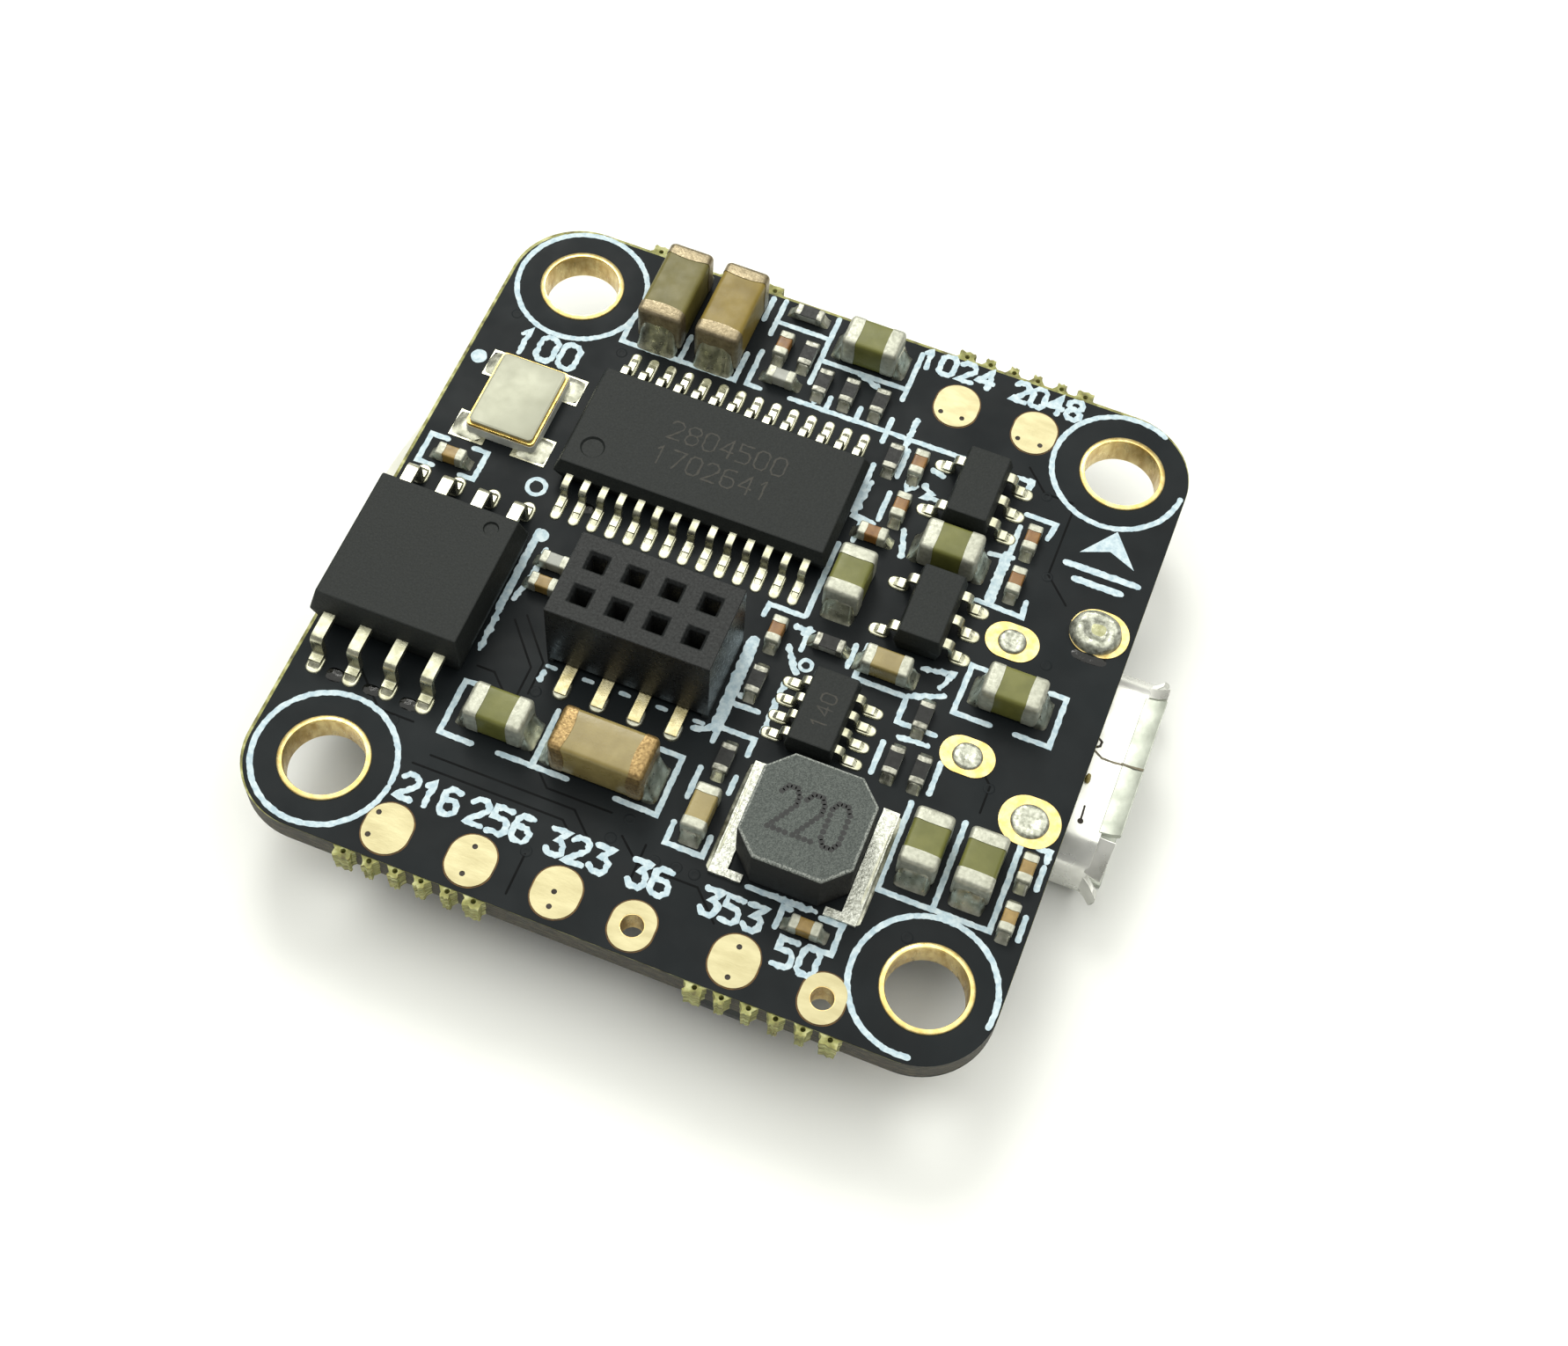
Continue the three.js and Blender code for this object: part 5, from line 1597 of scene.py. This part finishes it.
def make_usb_tongue():
    low, high = node_box("usb_tongue")
    tongue = Solid()
    rear = [usb_section(x, USB["wall"] + 0.05) for x in (low.x, low.x + 1.2)]
    tongue.loft(rear)
    tongue.box((low.x + 1.15, -1.85, 1.5), (high.x, 1.85, 2.05))
    tongue.piece("usb_tongue_plastic", [BLACK_PLASTIC], bevel=0.05, replaces=["usb_tongue"])
    contacts = Solid()
    for index in range(5):
        y = (index - 2) * 0.65
        contacts.box((low.x + 1.3, y - 0.16, 1.42), (high.x - 0.3, y + 0.16, 1.52))
        contacts.strip(
            [(0.0, 0.35), (0.25, 0.3), (0.4, 0.07), (1.0, 0.07)], 0.26, 0.1,
            facing(low.x + 0.15, y, LEFT_WAY, DOWN),
        )
    contacts.piece("usb_contacts", [RING_GOLD], bevel=0.02)


def make_shell_joints():
    """Gold rings with solder where the receptacle's legs come through the board."""
    rings, solder, flux = Solid(), Solid(), Solid()
    for index, ((x, y), _, pad, reach, corner, tall) in enumerate(SHELL_LEGS):
        rings.plate(rounded_rectangle(x, y, *pad, corner, 10), TOP, TOP + PAD_HEIGHT)
        shift = (-0.12, -0.04) if index == 0 else (0.0, 0.0)

        def crater(u, v, tall=tall, n=index):
            distance = (u ** 8 + v ** 8) ** (1 / 8)
            hollow = 0.35 * math.exp(-((distance / 0.45) ** 4))
            slope = max(0.0, 1 - distance ** 4) ** 0.5
            return tall * slope * (1 - hollow) * (1 + 0.25 * wobble(u, v, n + 2, 0.6))

        solder.mound(crater, *reach, facing(x + shift[0], y + shift[1], RIGHT_WAY,
                                            lift=PAD_HEIGHT), steps=24, roundness=1.0)
    x, y = SHELL_LEGS[0][0]
    flux.mound(
        lambda u, v: 0.02 + 0.03 * (1 - u * u) * (1 - v * v), 0.5, 0.38,
        facing(x + 0.02, y + 0.06, RIGHT_WAY, lift=PAD_HEIGHT + 0.17), steps=14, roundness=1.0,
    )
    rings.piece("usb_leg_pads_top", [RING_GOLD], bevel=0.012)
    solder.piece("usb_leg_solder", [DULL_SOLDER], sharp=80)
    flux.piece("usb_leg_flux", [YELLOWED_FLUX], sharp=80)


# ---------------------------------------------------------------- harness connector


def joined_loops(outer, inner):
    """Ring of triangles between two loops of points with different counts."""
    faces, i, j = [], 0, 0
    big, small = len(outer), len(inner)
    while i < big or j < small:
        if j == small or (i < big and (i + 1) / big <= (j + 1) / small):
            faces.append((i % big, (i + 1) % big, big + j % small))
            i += 1
        else:
            faces.append((i % big, big + (j + 1) % small, big + j % small))
            j += 1
    return outer + inner, faces


def make_harness_connector():
    low, high = node_box("harness_connector")
    wall, floor, roof, depth = 0.55, 0.6, 2.2, 2.9
    bow = 0.45

    def section(half, lower, upper):
        loop = rounded_rectangle(0, (lower + upper) / 2, half, (upper - lower) / 2, 0.25, 4)
        return [tuple(point) for point in resampled(loop + loop[:1], 0.45)[:-1]]

    def mouth(loop):
        return [(low.x + bow * (py / high.y) ** 2, py, pz) for py, pz in loop]

    outer = section(high.y, low.z, high.z)
    inner = section(high.y - wall, floor, roof)
    housing = Solid()
    housing.loft([[(high.x, py, pz) for py, pz in outer], mouth(outer)], last=False)
    housing.loft([mouth(inner), [(low.x + depth, py, pz) for py, pz in inner]], first=False)
    rim = [mouth(outer), mouth(inner)]
    housing.add(*joined_loops(*rim))
    housing.piece("harness_connector_housing", [IVORY_PLASTIC], bevel=0.08, sharp=30,
                  replaces=["harness_connector"], segments=3)
    pins, solder = Solid(), Solid()
    for index in range(6):
        y = index - 2.5
        pins.box((low.x + 0.8, y - 0.15, 1.3), (low.x + depth + 0.2, y + 0.15, 1.6))
        pins.strip([(-0.3, 1.0), (0.05, 0.95), (0.2, 0.12), (0.75, 0.1)], 0.28, 0.16,
                   facing(high.x, y, RIGHT_WAY, DOWN))
        place = facing(high.x, y, RIGHT_WAY, DOWN)
        land(solder, place, 0.05, 1.25, 0.5, 0)
        fillet(solder, facing(high.x + 0.7, y, RIGHT_WAY, DOWN, PAD_HEIGHT), 0.34, 0.35, 0.16,
               index, slot=1)
    for side in (-1, 1):
        y = side * (high.y - 0.1)
        place = facing(-11.2, y, REAR_WAY if side > 0 else FRONT_WAY, DOWN)
        land(solder, place, -0.2, 0.95, 1.6, 0)
        fillet(solder, facing(-11.2, side * high.y, REAR_WAY if side > 0 else FRONT_WAY, DOWN,
                              PAD_HEIGHT), 1.4, 0.6, 0.4, side, slot=1)
    pins.piece("harness_connector_pins", [LEAD_TIN], bevel=0.03)
    solder.piece("harness_connector_solder", [LEAD_TIN, SOLDER], sharp=50)


# ---------------------------------------------------------------- boot button


def make_boot_button():
    low, high, x, y, half_x, half_y = footprint("boot_button_base")
    pocket = circle(x, y, 1.15)
    base = Solid()
    base.plate(rounded_rectangle(x, y, half_x, half_y, 0.12, 3), low.z, 2.6, [pocket])
    base.plate(rounded_rectangle(x, y, half_x, half_y, 0.12, 3), 2.6, high.z)
    base.piece("boot_button_base_plastic", [BLACK_PLASTIC], replaces=["boot_button_base"])
    cover_low, cover_high = node_box("boot_button_cover")
    cover = Solid()
    cover.plate(
        rounded_rectangle(x, y, half_x, half_y + 0.12, 0.15, 4), cover_low.z, low.z - 0.002,
        [circle(x, y, 0.88)],
    )
    for side in (-1, 1):
        y0 = y + side * (half_y + 0.002)
        y1 = y + side * (half_y + 0.12)
        cover.box((x - 1.2, min(y0, y1), cover_low.z + 0.02), (x + 1.2, max(y0, y1), cover_high.z))
        cover.box((x - 0.4, min(y0, y1), cover_high.z - 0.02),
                  (x + 0.4, max(y0, y1), cover_high.z - 0.01))
    cover.piece("boot_button_cover_sheet", [STEEL], bevel=0.03, replaces=["boot_button_cover"])
    plunger_low, plunger_high = node_box("boot_button_plunger")
    stem_top = low.z + 0.02
    plunger = Solid()
    plunger.lathe(
        [
            (0.02, plunger_low.z + 0.03), (0.45, plunger_low.z + 0.02), (0.66, plunger_low.z),
            (0.73, plunger_low.z + 0.05), (0.75, plunger_low.z + 0.12), (0.75, stem_top),
            (1.0, stem_top), (1.0, stem_top + 0.2), (0.45, stem_top + 0.2),
            (0.45, plunger_high.z), (0.02, plunger_high.z),
        ],
        x, y, 48, closed=False,
    )
    plunger.piece("boot_button_plunger_cap", [BLACK_PLASTIC], body="plunger", sharp=40,
                  replaces=["boot_button_plunger"])
    dome_low, _ = node_box("boot_button_dome")
    dome = Solid()
    under = [(0.02 + 0.98 * t, dome_low.z + 0.22 * t * t) for t in (0, 0.2, 0.4, 0.6, 0.8, 1)]
    over = [(r, z + 0.04) for r, z in reversed(under)]
    dome.lathe(under + over, x, y, 48, closed=True)
    dome.piece("boot_button_dome_sheet", [STEEL], sharp=50, replaces=["boot_button_dome"])
    solder = Solid()
    for side_x, side_y in ((-1, -1), (-1, 1), (1, -1), (1, 1)):
        turn = RIGHT_WAY if side_x > 0 else LEFT_WAY
        place = facing(x + side_x * half_x, y + side_y * 0.9, turn, DOWN)
        land(solder, place, -0.1, 0.75, 0.7, 0)
        solder.strip([(-0.05, 0.12), (0.5, 0.1)], 0.5, 0.14, place, 0)
        fillet(solder, facing(x + side_x * (half_x + 0.45), y + side_y * 0.9, turn, DOWN,
                              PAD_HEIGHT), 0.55, 0.25, 0.14, side_x + side_y, slot=1)
    solder.piece("boot_button_solder", [LEAD_TIN, SOLDER], sharp=50)


# ---------------------------------------------------------------- rest of the underside

UNDER_RESISTORS = (
    (-6.4, 3.2, "y"), (-6.4, 1.4, "y"), (-6.4, -0.6, "y"), (-6.4, -2.6, "y"), (5.4, 3.4, "y"),
    (5.4, 1.2, "y"), (5.4, -1.0, "y"), (5.4, -3.2, "y"), (-2.6, -6.0, "x"), (-0.8, -6.0, "x"),
    (1.0, -6.0, "x"), (2.8, -6.0, "x"), (2.9, 6.2, "x"), (-0.4, 6.2, "x"),
)
UNDER_LINES = (
    ((-9.2, -5.0), (-4.4, -5.0), (-4.4, -8.4), (-9.2, -8.4), (-9.2, -5.4)),
    ((-7.3, 7.3), (-2.0, 7.3)),
    ((-7.3, 11.3), (-2.0, 11.3)),
    ((-1.9, 6.9), (-1.9, 11.6), (2.7, 11.6), (2.7, 6.9)),
    ((7.9, 4.3), (12.0, 4.3)),
    ((7.9, -4.3), (12.0, -4.3)),
    ((2.9, -10.5), (5.9, -10.5)),
)
UNDER_LABELS = (("100", 8.7, 6.2, 0.75, 1.8), ("4", -11.65, 7.4, 0.7, 0.55))


def make_underside_small_parts():
    """Resistors, capacitors, diode and light under the board."""
    solder = Solid()
    for number, (x, y, along) in enumerate(UNDER_RESISTORS, 1):
        height = 0.5 if number % 3 else 0.35
        half_x, half_y = (0.5, 0.25) if along == "x" else (0.25, 0.5)
        low = Vector((x - half_x, y - half_y, UNDERSIDE - height))
        high = Vector((x + half_x, y + half_y, UNDERSIDE))
        ceramic = BROWN if number % 3 else RESISTOR_GLAZE
        make_two_ended(f"under_part_{number:02d}", low, high, ceramic, TERMINATION, 0.24, along == "x")
        solder_ends(solder, low, high, along == "x", 0.25, 0.28, DOWN)
    make_protection_diode(solder)
    make_status_light(solder)
    solder.piece("underside_solder", [LEAD_TIN, SOLDER], sharp=50)


def make_protection_diode(solder):
    low, high, x, y, half_x, half_y = footprint("protection_diode")
    diode = Solid()
    chip_body(diode, x, y, half_x, half_y, 0.05, UNDERSIDE - low.z, 0.07, None, DOWN)
    diode.piece("protection_diode_body", [MOULDING], sharp=18, replaces=["protection_diode"])
    for turn in (RIGHT_WAY, LEFT_WAY):
        place = facing(x + math.cos(turn) * (high.x - low.x) / 2, y, turn, DOWN)
        land(solder, place, -0.1, 0.75, 1.1, 0)
        solder.strip(gull_wing(-0.1, 0.6, 0.5, 0.14, 0.3, 0.12), 0.8, 0.14, place, 0)


def make_status_light(solder):
    low, high = node_box("status_light")

    def inset(end, side):
        return [(low.x + end, low.y + side), (high.x - end, low.y + side),
                (high.x - end, high.y - side), (low.x + end, high.y - side)]

    light = Solid()
    light.box((low.x, low.y, UNDERSIDE - 0.3), (high.x, high.y, UNDERSIDE - 0.02))
    light.loft([raised(inset(0.32, 0.0), UNDERSIDE - 0.28), raised(inset(0.42, 0.06), low.z)], 1)
    light.piece("status_light_body", [WHITE_CERAMIC, LENS], bevel=0.04, replaces=["status_light"])
    solder_ends(solder, low, high, True, 0.28, 0.2, DOWN)


def make_underside_printing():
    """Legend and track gaps under the board."""
    ink = Solid()
    top = UNDERSIDE + 0.004
    for index, path in enumerate(UNDER_LINES):
        low_z = top - INK_HEIGHT - 0.002 * (index % 3)
        add_ribbon(ink, path, LINE, low_z, top, seed=index)
    for x, y in HOLES.values():
        x -= HOLE_RING_SHIFT if x > 0 else 0
        add_ring_ink(ink, x, y, HOLE_RING_OUTER, LINE, 0, 356, top - INK_HEIGHT, x)
    for text, left, base, height, width in UNDER_LABELS:
        for path in digit_paths(text, -left, base, height, width):
            mirrored = [(-px, py) for px, py in path]
            add_ribbon(ink, mirrored, 0.165, top - INK_HEIGHT, top)
    ink.piece("legend_ink_under", [INK], sharp=60)
    grooves = Solid()
    for index, path in enumerate(TRACKS):
        shifted = [(px * 0.92, -py * 0.92) for px, py in path]
        low_z = UNDERSIDE - 0.004 - 0.0005 * index
        add_ribbon(grooves, shifted, 0.07, low_z, UNDERSIDE + 0.004, 0.0, 0.6, index)
    grooves.piece("gaps_between_tracks_below", [MASK_GROOVE], sharp=50)


# ---------------------------------------------------------------- studio


def make_camera():
    """Camera above the front edge, a little to the right and turned a little clockwise."""
    azimuth, elevation, roll = math.radians(15.74), math.radians(61.64), math.radians(6.22)
    aim = Vector((2.147, -1.649, TOP)) * MM
    distance = 72.33 * MM
    back = Vector((math.sin(azimuth) * math.cos(elevation),
                   -math.cos(azimuth) * math.cos(elevation), math.sin(elevation)))
    level = Vector((math.cos(azimuth), math.sin(azimuth), 0))
    rise = back.cross(level)
    right = level * math.cos(roll) + rise * math.sin(roll)
    up = back.cross(right)
    data = bpy.data.cameras.new("camera")
    data.sensor_width = 36
    data.lens = 51.65
    data.clip_start = 0.001
    data.clip_end = 10
    camera = bpy.data.objects.new("camera", data)
    axes = Matrix((right, up, back)).transposed().to_4x4()
    camera.matrix_world = Matrix.Translation(aim + back * distance) @ axes
    bpy.context.scene.collection.objects.link(camera)
    bpy.context.scene.camera = camera


def add_area_light(name, place, aim, size, watts, color=(1, 1, 1)):
    data = bpy.data.lights.new(name, "AREA")
    data.shape = "RECTANGLE"
    data.size, data.size_y = size
    data.energy = watts
    data.color = color
    light = bpy.data.objects.new(name, data)
    light.location = place
    light.rotation_mode = "QUATERNION"
    light.rotation_quaternion = (Vector(aim) - Vector(place)).to_track_quat("-Z", "Y")
    bpy.context.scene.collection.objects.link(light)


def make_studio():
    floor = Solid()
    reach = 600
    floor.plate([(-reach, -reach), (reach, -reach), (reach, reach), (-reach, reach)], -1.0, 0.0)
    mesh = bpy.data.meshes.new("floor")
    mesh.from_pydata([[c * MM for c in v] for v in floor.vertices], [], floor.faces)
    paper = finish_material(
        "pale_paper", (252, 253, 250), (254, 255, 252), 40.0, rough=(0.7, 0.8),
        grain=0.6, depth=0.004,
    )
    mesh.materials.append(paper)
    sheet = bpy.data.objects.new("floor", mesh)
    bpy.context.scene.collection.objects.link(sheet)
    add_area_light("ceiling", (-0.06, 0.16, 0.42), (-0.06, 0.16, 0), (0.8, 0.66), 2.9, (1.0, 1.0, 0.93))
    add_area_light("rear_left_lamp", (-0.17, 0.33, 0.40), (0, 0, 0), (0.16, 0.16), 0.8,
                   (1.0, 1.0, 0.95))
    world = bpy.data.worlds.new("studio")
    bpy.context.scene.world = world
    world.use_nodes = True
    background = world.node_tree.nodes["Background"]
    background.inputs["Color"].default_value = (1, 1, 0.99, 1)
    background.inputs["Strength"].default_value = 0.3
    bpy.context.scene.view_settings.view_transform = "Standard"


make_board()
make_plated_holes()
make_wire_pads()
make_tracks()
make_legend()
for chip in LEADS:
    make_leaded_chip(chip)
make_chip_marks()
make_capacitors()
make_resistors()
make_crystal("osd_crystal", UP)
make_crystal("microcontroller_crystal", DOWN)
make_flat_packages()
make_inductor()
make_header_socket()
make_flux_and_shadow()
make_usb()
make_harness_connector()
make_boot_button()
make_underside_small_parts()
make_underside_printing()
make_camera()
make_studio()
